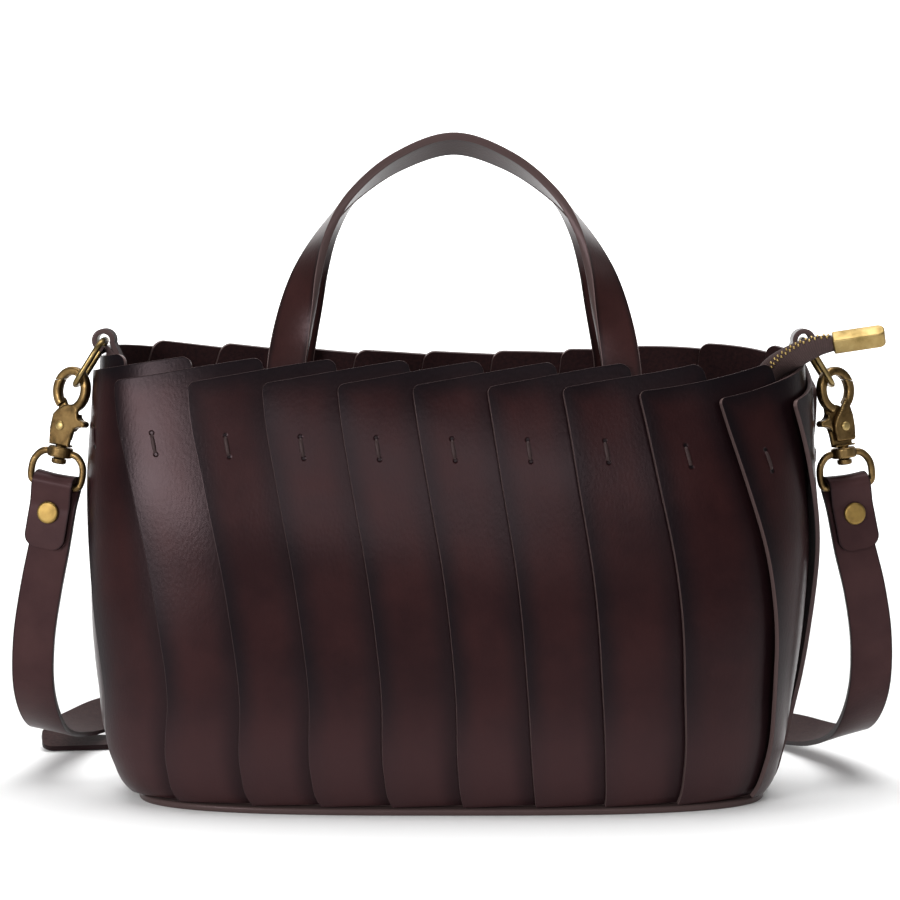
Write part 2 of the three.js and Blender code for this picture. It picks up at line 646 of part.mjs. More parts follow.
function hookGeometry() {
  const strand = plate(eyeArm(STRAND), -CLASP_HALF, CLASP_HALF);
  const cheek = plate(outline(FRONT_PLATE, true), LAYER_SPLIT.front, CLASP_HALF + CHEEK_PROUD);
  const spur = plate(outline(SPUR), -CLASP_HALF, CLASP_HALF);
  const root = plate(outline(ROOT_BLOCK), -CLASP_HALF, CLASP_HALF);
  const post = rod(POST.radius, BUTTON.top, POST.top);
  const button = rod(BUTTON.radius, BUTTON.bottom, BUTTON.top);
  return joined(strand, cheek, spur, root, post, button);
}

function gateGeometry() {
  const arm = plate(eyeArm(GATE_ARM), -CLASP_HALF, CLASP_HALF);
  const lever = plate(outline(LEVER_PLATE, true), -CLASP_HALF - CHEEK_PROUD, LAYER_SPLIT.back);
  return joined(arm, lever);
}

// A pin along the local y axis with a low dome at each end.
const DOME = { radiusShare: 0.6, heightShare: 0.75 };
function pinGeometry(shank, head, headHeight, halfLength, sides) {
  const shoulder = [head * DOME.radiusShare, halfLength + headHeight * DOME.heightShare];
  const upper = [[shank, halfLength], [head, halfLength], shoulder, [0, halfLength + headHeight]];
  const lower = upper.map(([radius, y]) => [radius, -y]).reverse();
  const profile = [...lower, ...upper].map(([radius, y]) => new THREE.Vector2(radius, y));
  return new THREE.LatheGeometry(profile, sides);
}

function swivelEyeGeometry() {
  const { inner, outer, half, chamfer } = COLLAR;
  const upper = [[outer, half - chamfer], [outer - chamfer, half], [inner, half]];
  const lower = upper.map(([r, z]) => [r, -z]).reverse();
  const profile = [...lower, ...upper, lower[0]].map(([r, z]) => new THREE.Vector2(r, z));
  const collar = upright(new THREE.LatheGeometry(profile, ROUND_SIDES));
  const points = [...EYE_HALF, ...EYE_HALF.map(({ x, z }) => ({ x: -x, z })).reverse()];
  const extrudePath = new THREE.CatmullRomCurve3(points.map(({ x, z }) => new THREE.Vector3(x, 0, z)));
  const section = new THREE.Shape(polygon(EYE_WIRE, WIRE_SIDES).map(([s, t]) => new THREE.Vector2(s, t)));
  return joined(collar, new THREE.ExtrudeGeometry(section, { extrudePath, steps: EYE_STEPS }));
}

// Places: the ring's foot lies in the hook's eye, and the strap hangs from the swivel eye's bar.
function claspFrame(clasp, turn) {
  const frame = new THREE.Matrix4().makeRotationY(radians(clasp.lean));
  return frame.multiply(new THREE.Matrix4().makeRotationZ(radians(turn)));
}

function claspOrigin(clasp) {
  const reach = new THREE.Vector3(RING_IN_EYE.x, 0, RING_IN_EYE.z);
  reach.applyMatrix4(claspFrame(clasp, clasp.turn));
  const foot = new THREE.Vector3(clasp.side * ringFoot.x, HOOK_ALONG_RING, ringFoot.z);
  return foot.sub(reach);
}

function claspGroup(clasp, turn) {
  const group = new THREE.Group();
  group.applyMatrix4(claspFrame(clasp, turn));
  group.position.copy(claspOrigin(clasp));
  bag.add(group);
  return group;
}

for (const [name, clasp] of Object.entries(CLASPS)) {
  const body = claspGroup(clasp, clasp.turn);
  add(`${name}_hook`, hookGeometry(), BRASS, body);
  add(`${name}_gate`, gateGeometry(), BRASS, body);
  const { shank, head, headHeight, clear, sides } = PIVOT_PIN;
  const pin = pinGeometry(shank, head, headHeight, CLASP_HALF + clear, sides);
  add(`${name}_hook_rivet`, pin.translate(PIVOT.x, 0, PIVOT.z), BRASS, body);
  add(`${name}_swivel_eye`, swivelEyeGeometry(), BRASS, claspGroup(clasp, clasp.eyeTurn));
}

// Shoulder strap: the fold round the eye's bar, then the hanging and lying lengths

const FOLD_RADIUS = EYE_WIRE + SEAT_GAP + STRAP_THICKNESS / 2;
const FLAP_OFFSET = STRAP_THICKNESS / 2 + FLAP_GAP;

function foldRows(clasp) {
  const frame = claspFrame(clasp, clasp.eyeTurn).setPosition(claspOrigin(clasp));
  const side = X_AXIS.clone().transformDirection(frame);
  const place = (y, below) => (
    new THREE.Vector3(clasp.slant * below, y, EYE_BAR_Z - below).applyMatrix4(frame));
  const arc = [-1, -0.5, 0, 0.5, 1].map((turn) => {
    const angle = (turn * Math.PI) / 2;
    return place(FOLD_RADIUS * Math.sin(angle), -FOLD_RADIUS * Math.cos(angle));
  });
  const flap = TIP_TAPER.map((row) => place(-FLAP_OFFSET, FLAP_LENGTH - row.at));
  const points = [...flap, place(-FLAP_OFFSET, FLAP_MEET), ...arc, place(FLAP_OFFSET, FLAP_MEET)];
  points.push(place(FLAP_OFFSET, FLAP_STRAIGHT), place(FLAP_OFFSET, FLAP_LENGTH));
  return points.map((point, i) => ({ point, side, width: STRAP_WIDTH * (TIP_TAPER[i]?.share ?? 1) }));
}

function strapGeometry(clasp, rows, tipped) {
  const fold = foldRows(clasp);
  const start = fold[fold.length - 1];
  const lying = [start.point, ...rows.map((row) => new THREE.Vector3(row.x, row.y, row.z))];
  const sides = [start.side, ...rows.map((row) => new THREE.Vector3(row.sx, row.sy, row.sz))];
  const path = new THREE.CatmullRomCurve3(lying);
  const turning = new THREE.CatmullRomCurve3(sides, false, 'catmullrom');
  const frames = framesAlong(path, STRAP_STEPS, (t) => turning.getPoint(t));
  for (const frame of frames) frame.width = STRAP_WIDTH;
  if (tipped) {
    const last = frames.pop();
    for (const { at, share } of [...TIP_TAPER].reverse()) {
      const point = last.point.clone().addScaledVector(path.getTangent(1), -at);
      frames.push({ ...last, point, width: STRAP_WIDTH * share });
    }
  }
  const folded = fold.map((row, i) => {
    const [before, after] = [fold[Math.max(0, i - 1)].point, fold[Math.min(fold.length - 1, i + 1)].point];
    const tangent = after.clone().sub(before).normalize();
    return { ...row, up: new THREE.Vector3().crossVectors(tangent, row.side) };
  });
  const all = [...folded.slice(0, -1), ...frames];
  const strap = toSolid(sweep(all, (step) => rectangle(all[step].width, STRAP_THICKNESS)));
  const drill = new THREE.CylinderGeometry(STRAP_RIVET.hole, STRAP_RIVET.hole, DRILL.length, DRILL.sides);
  drill.translate(clasp.slant * STRAP_RIVET.below, 0, EYE_BAR_Z - STRAP_RIVET.below);
  drill.applyMatrix4(claspFrame(clasp, clasp.eyeTurn).setPosition(claspOrigin(clasp)));
  return toGeometry(strap.subtract(toSolid(drill)));
}

add('strap_left', strapGeometry(CLASPS.left, STRAP_LEFT, false), STRAP_LEATHER);
add('strap_right', strapGeometry(CLASPS.right, STRAP_RIGHT, true), STRAP_LEATHER);

for (const [name, clasp] of Object.entries(CLASPS)) {
  const half = FLAP_OFFSET + STRAP_THICKNESS / 2 + SEAT_GAP;
  const { shank, cap, capHeight, sides, below } = STRAP_RIVET;
  const rivet = pinGeometry(shank, cap, capHeight, half, sides);
  rivet.translate(clasp.slant * below, 0, EYE_BAR_Z - below);
  add(`${name}_strap_rivet`, rivet, BRASS, claspGroup(clasp, clasp.eyeTurn));
}

// The keeper that holds the two lengths together behind the bag

function keeperGeometry() {
  const width = STRAP_WIDTH + 2 * KEEPER.sideClear;
  const height = 2 * STRAP_THICKNESS + 3 * KEEPER.layerClear;
  const corners = (grow) => (
    rectangle(width + 2 * grow, height + 2 * grow).map(([s, t]) => new THREE.Vector2(s, t)));
  const ring = new THREE.Shape(corners(KEEPER.wall));
  ring.holes.push(new THREE.Path(corners(0).reverse()));
  const geometry = new THREE.ExtrudeGeometry(ring, { depth: KEEPER.length, bevelEnabled: false });
  const middleZ = KEEPER.floorGap + KEEPER.wall + height / 2;
  geometry.translate(0, 0, -KEEPER.length / 2).rotateX(Math.PI / 2).rotateZ(Math.PI / 2);
  return geometry.translate(KEEPER.x, KEEPER.y, middleZ);
}

add('strap_keeper', keeperGeometry(), BRASS);

// Zip: two tapes along the inner walls, the slider, the folded tail with its teeth, and the end cap

function tapeGeometry(side) {
  const rows = TAPE_PATH.map(({ x, rise, reach }) => {
    const z = TAPE_Z + rise;
    const seat = side * (wallDepth(x, z + TAPE_HEIGHT / 2) - TAPE_CLEAR - TAPE_THICKNESS / 2);
    return { x, y: mix(TAPE_MEET.y + side * TAPE_MEET.apart, seat, reach), z };
  });
  const frames = framesAlong(curveThrough(rows, ['x', 'y', 'z']), TAPE_STEPS, () => Z_AXIS);
  return sweep(frames, () => rectangle(TAPE_HEIGHT, TAPE_THICKNESS));
}

add('zip_tape_front', tapeGeometry(-1), TAPE_FABRIC);
add('zip_tape_back', tapeGeometry(1), TAPE_FABRIC);

const sliderBody = new THREE.BoxGeometry(SLIDER.length, SLIDER.width, SLIDER.height);
const slider = add('zip_slider', sliderBody, BRASS);
slider.position.set(SLIDER.x, TAPE_MEET.y, SLIDER.z);
slider.rotation.y = -radians(SLIDER.tilt);

const tailSizes = curveThrough(TAIL, ['width', 'height', 'height']);
const tailRoll = Y_AXIS.clone().applyAxisAngle(X_AXIS, radians(TAIL_ROLL_DEG));
const tailFrames = framesAlong(curveThrough(TAIL, ['x', 'y', 'z']), TAIL_STEPS, () => tailRoll);
const tailSize = (step) => tailSizes.getPoint(step / TAIL_STEPS);
add('zip_tail', sweep(tailFrames, (step) => polygon(0.5, TAIL_SIDES).map(([s, t]) => (
  [s * tailSize(step).x, t * tailSize(step).y]))), TAPE_FABRIC);

const TAIL_FLAT = Math.cos(Math.PI / TAIL_SIDES) / 2;
const chainFrames = tailFrames.map((frame, step) => {
  const stand = TAIL_FLAT * tailSize(step).y + CHAIN.clear + CHAIN.height / 2;
  return { ...frame, point: frame.point.clone().addScaledVector(frame.up, stand) };
});
const chainSection = rectangle(CHAIN.width, CHAIN.height);
add('zip_chain', sweep(chainFrames.slice(CHAIN.firstStep), () => chainSection), BRASS);

const capOutline = new THREE.Shape();
capOutline.moveTo(0, -CAP.height / 2);
capOutline.lineTo(CAP.length - CAP.round, -CAP.height / 2);
capOutline.quadraticCurveTo(CAP.length, -CAP.height / 2, CAP.length, -CAP.height / 2 + CAP.round);
capOutline.lineTo(CAP.length, CAP.height / 2 - CAP.round);
capOutline.quadraticCurveTo(CAP.length, CAP.height / 2, CAP.length - CAP.round, CAP.height / 2);
capOutline.lineTo(0, CAP.height / 2);
const tailEnd = tailFrames[TAIL_STEPS];
const capPlace = new THREE.Group();
capPlace.position.copy(tailEnd.point);
capPlace.rotation.set(radians(TAIL_ROLL_DEG), -radians(CAP.tilt), 0);
bag.add(capPlace);
add('zip_cap', plate(capOutline, -CAP.width / 2, CAP.width / 2, 4), BRASS, capPlace).position.x = CAP.gap;

export default bag;
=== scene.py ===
# %% [markdown]
# # A leather handbag whose wall is a ring of overlapping panels
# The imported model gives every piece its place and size. This lesson dresses it: each leather
# piece becomes a smooth curved sheet with a thickness, the brass fittings become soft castings,
# and every surface gets a finish of its own. All sizes are the real ones, in metres.

# %% Load the frame
import math

import bmesh
import bpy
import numpy as np
from bmesh.types import BMEdge, BMFace, BMVert
from mathutils import Matrix, Vector


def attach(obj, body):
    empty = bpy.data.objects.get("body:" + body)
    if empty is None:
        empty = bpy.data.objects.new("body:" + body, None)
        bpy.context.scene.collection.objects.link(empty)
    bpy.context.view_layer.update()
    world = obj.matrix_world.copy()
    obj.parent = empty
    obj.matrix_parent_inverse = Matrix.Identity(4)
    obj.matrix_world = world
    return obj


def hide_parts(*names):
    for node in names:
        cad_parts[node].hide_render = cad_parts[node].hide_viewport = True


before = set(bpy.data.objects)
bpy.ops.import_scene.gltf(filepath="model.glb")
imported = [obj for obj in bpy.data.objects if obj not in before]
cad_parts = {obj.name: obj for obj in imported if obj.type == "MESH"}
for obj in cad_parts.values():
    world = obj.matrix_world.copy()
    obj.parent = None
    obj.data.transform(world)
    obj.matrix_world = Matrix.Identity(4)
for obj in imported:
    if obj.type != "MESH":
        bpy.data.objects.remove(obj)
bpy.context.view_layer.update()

MM = 0.001
BODY = "bag"

# %% [markdown]
# ## Small helpers
# Colours are written as the hex values that a colour picker shows, and one function turns them
# into the linear values that a shader works with. Another adds a shader node, with its settings
# and links in one call. The nodes that every finish needs have a short function each, so that a
# material reads as a list of its layers.


# %% Colours and shader nodes
def linear(hex_colour):
    """An sRGB hex colour as linear RGBA."""
    shares = [int(hex_colour[i:i + 2], 16) / 255 for i in (1, 3, 5)]
    return tuple(c / 12.92 if c <= 0.04045 else ((c + 0.055) / 1.055) ** 2.4 for c in shares) + (1.0,)


def add_node(tree, kind, inputs=None, **settings):
    """Adds a node. An input is a value, or an output socket to link."""
    made = tree.nodes.new(kind)
    for name, value in settings.items():
        setattr(made, name, value)
    for socket, value in (inputs or {}).items():
        if isinstance(value, bpy.types.NodeSocket):
            tree.links.new(value, made.inputs[socket])
        else:
            made.inputs[socket].default_value = value
    return made


def object_place(tree):
    return add_node(tree, "ShaderNodeTexCoord").outputs["Object"]


def ways(tree, vector):
    """The three parts of a vector, by their letters."""
    return add_node(tree, "ShaderNodeSeparateXYZ", {"Vector": vector}).outputs


def computed(tree, operation, *values):
    """The result of a Math node on values or output sockets."""
    return add_node(tree, "ShaderNodeMath", dict(enumerate(values)), operation=operation).outputs[0]


def ranged(tree, value, given, wanted=(0, 1), soft=False):
    """A value carried from the given range to the wanted one, with soft ends where that is asked."""
    return add_node(tree, "ShaderNodeMapRange", {
        "Value": value, "From Min": given[0], "From Max": given[1],
        "To Min": wanted[0], "To Max": wanted[1],
    }, interpolation_type="SMOOTHSTEP" if soft else "LINEAR").outputs["Result"]


def mixed(tree, share, first, second):
    """A tone between two, which are hex colours or output sockets."""
    tones = [linear(tone) if isinstance(tone, str) else tone for tone in (first, second)]
    return add_node(tree, "ShaderNodeMix", {0: share, 6: tones[0], 7: tones[1]}, data_type="RGBA").outputs[2]


def noise(tree, place, size, detail, roughness=0.5):
    return add_node(tree, "ShaderNodeTexNoise", {
        "Vector": place, "Scale": 1 / size, "Detail": detail, "Roughness": roughness}).outputs["Fac"]


def bumped(tree, height, strength, depth):
    return add_node(tree, "ShaderNodeBump", {
        "Height": height, "Strength": strength, "Distance": depth}).outputs["Normal"]


def new_material(name):
    material = bpy.data.materials.new(name)
    material.use_nodes = True
    material.node_tree.nodes.clear()
    return material, material.node_tree


def finish_material(tree, inputs):
    """Adds the shader with its inputs, and the material's output."""
    shader = add_node(tree, "ShaderNodeBsdfPrincipled", inputs)
    add_node(tree, "ShaderNodeOutputMaterial", {"Surface": shader.outputs["BSDF"]})


# %% Meshes
def of_kind(geometry, kind):
    """The vertices, edges or faces in an operator's result."""
    return [item for item in geometry if isinstance(item, kind)]


def face_outward(bm):
    bmesh.ops.recalc_face_normals(bm, faces=bm.faces[:])


def round_edges(bm, edges, offset, segments):
    bmesh.ops.bevel(bm, geom=edges, offset=offset, affect="EDGES", segments=segments, profile=0.5,
                    material=-1)


def mesh_object(bm, name):
    """Turns a bmesh into a smooth object of the scene."""
    mesh = bpy.data.meshes.new(name)
    bm.to_mesh(mesh)
    bm.free()
    mesh.shade_smooth()
    made = bpy.data.objects.new(name, mesh)
    bpy.context.scene.collection.objects.link(made)
    return made


# %% [markdown]
# ## Camera, floor and light
# The photograph looks slightly down at the bag from a little over a metre away with a long lens,
# so the camera stands there. The bag stands on a white sweep that curves up behind it. The paper
# glows, most behind the bag, which is painted light. In front and at the sides it is painted darker
# as the shade of the room, so that the waxed leather mirrors a dark room there. Large soft boxes at
# the left, above, at the right and in front give the leather its broad, soft highlights. Colours are
# shown as they are, without a film curve, so that the white paper comes out white.

# %% Camera
IMAGE_SIDE = 900
FOCAL_PIXELS = 2800
SENSOR = 36
CAMERA_PLACE = Vector((-1.5, -1120, 225.6)) * MM
PITCH_DOWN = math.radians(4.45)

camera_data = bpy.data.cameras.new("camera")
camera_data.sensor_width = SENSOR
camera_data.lens = SENSOR * FOCAL_PIXELS / IMAGE_SIDE
camera = bpy.data.objects.new("camera", camera_data)
camera.location = CAMERA_PLACE
camera.rotation_euler = (math.pi / 2 - PITCH_DOWN, 0, 0)
bpy.context.scene.collection.objects.link(camera)
bpy.context.scene.camera = camera
bpy.context.scene.view_settings.view_transform = "Standard"
print("lens in mm:", round(camera_data.lens, 1))

# %% White sweep
FLOOR_HALF = 6.0
SWEEP_START = 1.6
SWEEP_RADIUS = 0.8
SWEEP_HEIGHT = 2.5
SWEEP_STEPS = 24


def white_sweep():
    """A floor whose back edge is turned up through a quarter circle and extruded to a wall."""
    bm = bmesh.new()
    corners = [(-FLOOR_HALF, -FLOOR_HALF), (FLOOR_HALF, -FLOOR_HALF),
               (FLOOR_HALF, SWEEP_START), (-FLOOR_HALF, SWEEP_START)]
    bm.faces.new([bm.verts.new((x, y, 0)) for x, y in corners])
    edge = [e for e in bm.edges if all(v.co.y > SWEEP_START / 2 for v in e.verts)]
    swept = bmesh.ops.spin(bm, geom=edge, cent=(0, SWEEP_START, SWEEP_RADIUS), axis=(1, 0, 0),
                           angle=math.pi / 2, steps=SWEEP_STEPS)
    wall = bmesh.ops.extrude_edge_only(bm, edges=of_kind(swept["geom_last"], BMEdge))["geom"]
    bmesh.ops.translate(bm, verts=of_kind(wall, BMVert), vec=(0, 0, SWEEP_HEIGHT))
    return mesh_object(bm, "white_sweep")


# PAPER_GLOW and ROOM_GLOW are strengths of the paper's painted glow. The other pairs are places in
# metres: the glow rises along GLOW_BACK, and the paper turns from painted shade to lit along LIT_FRONT
# and, from each side, along LIT_SIDE.
PAPER_GLOW = (0.02, 1.0)
GLOW_BACK = (0.4, 1.8)
LIT_FRONT = (-0.5, -0.2)
LIT_SIDE = (2.4, 1.2)
ROOM_GLOW = 0.25
PAPER_SHADE_AND_WHITE = ("#909090", "#f6f6f6")


def paper_white():
    """Matt white paper with a painted glow behind the bag, darkening into painted room shade in front and at
    the sides.
    """
    material, tree = new_material("paper_white")
    way = ways(tree, object_place(tree))
    along = ranged(tree, way["Y"], LIT_FRONT, soft=True)
    aside = ranged(tree, computed(tree, "ABSOLUTE", way["X"]), LIT_SIDE, soft=True)
    lit = computed(tree, "MULTIPLY", along, aside)
    glow = ranged(tree, way["Y"], GLOW_BACK, PAPER_GLOW)
    # Painted light and shade: the base colour turns from a grey of painted room shade to white, and the paper
    # glows by emission, though it is no lamp.
    finish_material(tree, {
        "Base Color": mixed(tree, lit, *PAPER_SHADE_AND_WHITE), "Roughness": 0.9, "Specular IOR Level": 0.1,
        "Emission Color": (1, 1, 1, 1), "Emission Strength": ranged(tree, lit, (0, 1), (ROOM_GLOW, glow)),
    })
    return material


floor = white_sweep()
floor.data.materials.append(paper_white())
print("sweep faces:", len(floor.data.polygons))

# %% Soft boxes
# Columns: name, place in metres, size of the box's two sides, power in watts.
SOFT_BOXES = [
    ("left_box", (-0.95, -1.3, 0.47), (0.62, 0.42), 17),
    ("top_box", (0.0, 0.1, 1.7), (1.8, 1.0), 30),
    ("right_box", (1.4, 0.4, 0.6), (0.5, 0.9), 0.8),
    ("front_box", (0.4, -2.2, 0.72), (1.3, 0.5), 11.5),
]
LIGHT_AIM = Vector((0, 0, 0.12))
WORLD_STRENGTH = 0.22

for name, place, (width, height), power in SOFT_BOXES:
    light = bpy.data.lights.new(name, "AREA")
    light.shape = "RECTANGLE"
    light.size, light.size_y, light.energy = width, height, power
    lamp = bpy.data.objects.new(name, light)
    lamp.location = place
    lamp.rotation_euler = (LIGHT_AIM - Vector(place)).to_track_quat("-Z", "Y").to_euler()
    bpy.context.scene.collection.objects.link(lamp)

world = bpy.data.worlds.new("studio")
world.use_nodes = True
world.node_tree.nodes["Background"].inputs["Color"].default_value = (1, 1, 1, 1)
world.node_tree.nodes["Background"].inputs["Strength"].default_value = WORLD_STRENGTH
bpy.context.scene.world = world
print("soft boxes:", [row[0] for row in SOFT_BOXES])

# %% [markdown]
# ## Burnished leather
# The panels and handles are vegetable-tanned cowhide, dyed dark brown, waxed and rubbed. Wax gives
# a satin gloss with a fine grain in it, the dye lies unevenly in soft clouds, and rubbing has
# blackened the cut edges. Each sheet carries an attribute with the distance to its nearest cut
# edge, so the black follows the edge of every piece. A panel carries painted shade where the next
# one starts to cover it and in its stitch holes, and a paler painted reflection of the floor near its
# foot. The real grain is under half a millimetre wide, too fine for the render, and is drawn about
# twice as coarse.

# %% Leather finish
DYE = {"cloud": 24 * MM, "range": (0.36, 0.64)}
WAX = {"range": (0.3, 0.7), "spread": (-0.015, 0.03), "tint": "#ffe0e6"}
RUB = 7 * MM
# Shares of the burnish: how far the black wanders, and where it is full and gone.
BLACK = {"wander": 0.35, "full": 0.1, "gone": 1.4, "most": 0.92}
GRAIN = {"size": 1.0 * MM, "depth": 0.09 * MM, "stretch": (1, 1, 0.55), "bump": 0.36}
FIBRE = {"size": 0.35 * MM, "share": 0.5}
TUFT = {"size": 1.4 * MM, "range": (0.35, 0.65), "bump": 0.6, "depth": 0.4 * MM}
# Painted shade on a panel where the next panel's edge lies over it.
OVERLAP_SHADE = {"range": (18 * MM, 27 * MM), "share": 0.62}
# A paler tone near the foot of each panel: a painted reflection of the pale floor.
PAINTED_FLOOR_REFLECTION = {"range": (54 * MM, 14 * MM), "share": 0.6, "tone": "#3b2829"}
STITCH = {"from_left": 12 * MM, "below_top": 25.8 * MM, "half": 3.7 * MM, "hole": 4.05 * MM}
HOLE_RADIUS = 0.8 * MM
# The holes' near-black tone is painted shade inside them; sink sets their dent in the bump.
HOLE = {"range": (0.6 * HOLE_RADIUS, 1.5 * HOLE_RADIUS), "tone": "#050304", "sink": -6}


def hole_shade_mask(tree, flat):
    """Where a stitch goes through: two holes, one above the other, on the flat panel, painted dark as the
    shade in them.
    """
    aside = computed(tree, "SUBTRACT", flat["X"], STITCH["from_left"])
    below = computed(tree, "SUBTRACT", flat["Y"], STITCH["below_top"])
    off = computed(tree, "SUBTRACT", computed(tree, "ABSOLUTE", below), STITCH["hole"])
    both = add_node(tree, "ShaderNodeCombineXYZ", {"X": aside, "Y": off}).outputs[0]
    reach = add_node(tree, "ShaderNodeVectorMath", {0: both}, operation="LENGTH").outputs["Value"]
    return ranged(tree, reach, HOLE["range"], (1, 0), soft=True)


def leather(name, lit, deep, black, burnish, dullness=0.29, shine=0.15, stitched=False):
    """Waxed leather: clouded dye, blackened edges, fine grain. burnish is the black's reach."""
    material, tree = new_material(name)
    place = object_place(tree)
    edge = add_node(tree, "ShaderNodeAttribute", attribute_name="edge").outputs["Fac"]
    cloud = noise(tree, place, DYE["cloud"], 5, 0.55)
    rub = noise(tree, place, RUB, 3, 0.6)
    wander = computed(tree, "MULTIPLY_ADD", rub, BLACK["wander"] * burnish, edge)
    fade = (BLACK["full"] * burnish, BLACK["gone"] * burnish)
    black_share = ranged(tree, wander, fade, (BLACK["most"], 0), soft=True)
    dyed = mixed(tree, ranged(tree, cloud, DYE["range"]), deep, lit)
    colour = mixed(tree, black_share, dyed, black)
    stretch = add_node(tree, "ShaderNodeMapping", {"Vector": place, "Scale": GRAIN["stretch"]})
    pebble = add_node(tree, "ShaderNodeTexVoronoi", {
        "Vector": stretch.outputs[0], "Scale": 1 / GRAIN["size"], "Randomness": 1}, feature="SMOOTH_F1")
    fibre = noise(tree, place, FIBRE["size"], 2)
    height = computed(tree, "MULTIPLY_ADD", fibre, FIBRE["share"], pebble.outputs["Distance"])
    if stitched:
        flat = ways(tree, add_node(tree, "ShaderNodeTexCoord").outputs["UV"])
        holes = hole_shade_mask(tree, flat)
        # Painted shade towards the next panel, which covers this one.
        under = ranged(tree, flat["X"], OVERLAP_SHADE["range"], (0, OVERLAP_SHADE["share"]), soft=True)
        # Painted reflection of the floor, paler towards each panel's foot.
        painted_floor_reflection = ranged(tree, ways(tree, place)["Z"], PAINTED_FLOOR_REFLECTION["range"], (0, PAINTED_FLOOR_REFLECTION["share"]), soft=True)
        for share, tone in ((painted_floor_reflection, PAINTED_FLOOR_REFLECTION["tone"]), (under, black), (holes, HOLE["tone"])):
            colour = mixed(tree, share, colour, tone)
        height = computed(tree, "MULTIPLY_ADD", holes, HOLE["sink"], height)
    finish_material(tree, {
        "Base Color": colour, "IOR": 1.5, "Specular IOR Level": shine, "Specular Tint": linear(WAX["tint"]),
        "Roughness": ranged(tree, cloud, WAX["range"], [dullness + step for step in WAX["spread"]]),
        "Normal": bumped(tree, height, GRAIN["bump"], GRAIN["depth"])})
    return material


def flesh_side(name, light, dark):
    """The inner side of the hide: short matt fibres that lie in small tufts."""
    material, tree = new_material(name)
    tuft = noise(tree, object_place(tree), TUFT["size"], 6, 0.7)
    finish_material(tree, {
        "Base Color": mixed(tree, ranged(tree, tuft, TUFT["range"]), dark, light), "Roughness": 0.8,
        "Specular IOR Level": 0.08, "Sheen Weight": 0.06, "Sheen Roughness": 0.5,
        "Normal": bumped(tree, tuft, TUFT["bump"], TUFT["depth"])})
    return material


panel_leather = leather("panel_leather", "#271212", "#1e0d0e", "#08070a", 8 * MM, stitched=True)
handle_leather = leather("handle_leather", "#2f1a19", "#261514", "#0e0a0b", 2.2 * MM)
panel_flesh = flesh_side("panel_flesh", "#2e1a1a", "#1f1214")
# The cut edge's lighter tone is partly the edge's own waxed colour and partly a painted highlight of its
# rounded rim.
cut_edge_painted_highlight = leather("cut_edge_painted_highlight", "#665452", "#544543", "#433635", 0.3 * MM, dullness=0.3)
print("leather finishes:", [m.name for m in bpy.data.materials if "leather" in m.name])

# %% [markdown]
# ## The shape of the wall
# Every panel lies on one wall. Its plan is a rounded oblong at each height, and a panel's place
# on it is a share of the way round, from the left end along the front. The plans are measured
# once into a table, so that a whole panel's points can be looked up together.

# %% The wall's plan and height
PANEL_COUNT = 22
PANEL_THICKNESS = 1.8 * MM
LAYER_STEP = PANEL_THICKNESS + 0.54 * MM
PANEL_PHASE = 0.013
LEAN = math.tan(math.radians(7.8))
PLAN_POWER = 3
END_POWER = 3
RIM_Z = 176 * MM
# Columns: height, half width and half depth of the wall's inner face, tuck of its right end and
# bulge of its left end, all in mm, and how much of the edges' swing shows there.
WALL = np.array([
    (3, 118.5, 41, 0, 0, 0), (8, 126, 43.2, 3, 0, 0.15), (18, 132, 46.5, 5.8, 0, 0.45),
    (46, 137, 50.8, 5.8, 0, 0.95), (95, 139.8, 51.2, 2.4, 0, 1), (128, 139.4, 47.6, 1.8, 0.6, 0.58),
    (152, 138.8, 43, 0.6, 2.2, 0.17), (180, 137.5, 35.5, 0, 3.6, 0),
])
HALF_WIDTH, HALF_DEPTH, TUCK, BULGE, SWING = range(1, WALL.shape[1])
BULGE_Y = (1 * MM, 23 * MM)
# How far each panel's left edge swings along the wall at mid height, and moves at its foot, in mm.
DRIFT = np.array([
    (11.5, -6.5), (12, -7), (10.3, -4.8), (7.2, -4.5), (5.3, -3.3), (4.2, -1.7), (2.2, 0.4), (1.2, 1),
    (3, 2.8), (9, 6.5), (10.5, 6), (10, 5.5), (9, 4), (8, 2.5), (7, 1), (6.5, 0), (6.5, 0), (7.5, -0.5),
    (8.8, -1.5), (10, -3), (10.8, -4.5), (11.2, -5.5),
]) * MM
FOOT_REACH = 60 * MM
TABLE_STEP = 2 * MM
TABLE_Z = np.arange(0, 100) * TABLE_STEP
PLAN_STEPS = 720


def between(first, last, out, into, t):
    """The place at a share t of the way, which leaves and arrives in the given directions."""
    start = first * (1 + 2 * t) + out * t
    end = last * (3 - 2 * t) + into * (t - 1)
    return start * (1 - t) ** 2 + end * t ** 2


def through(x, xs, ys):
    """A smooth curve through a table's points."""
    slopes = np.gradient(ys, xs)
    i = np.clip(np.searchsorted(xs, x) - 1, 0, len(xs) - 2)
    span = xs[i + 1] - xs[i]
    return between(ys[i], ys[i + 1], slopes[i] * span, slopes[i + 1] * span, (x - xs[i]) / span)


def smoothstep(value, low, high):
    t = np.clip((value - low) / (high - low), 0, 1)
    return t * t * (3 - 2 * t)


def wall_column(z, column):
    return through(z, WALL[:, 0] * MM, WALL[:, column])


def half_sizes(z):
    return wall_column(z, HALF_WIDTH) * MM, wall_column(z, HALF_DEPTH) * MM


def drift(panels, z):
    """How far the covering moves along the wall at a height, for a place counted in panels."""
    table = np.vstack([DRIFT, DRIFT[:2]])
    swing, foot = (np.interp(panels, np.arange(len(table)), column) for column in table.T)
    return wall_column(z, SWING) * swing + (1 - smoothstep(z, 0, FOOT_REACH)) * foot


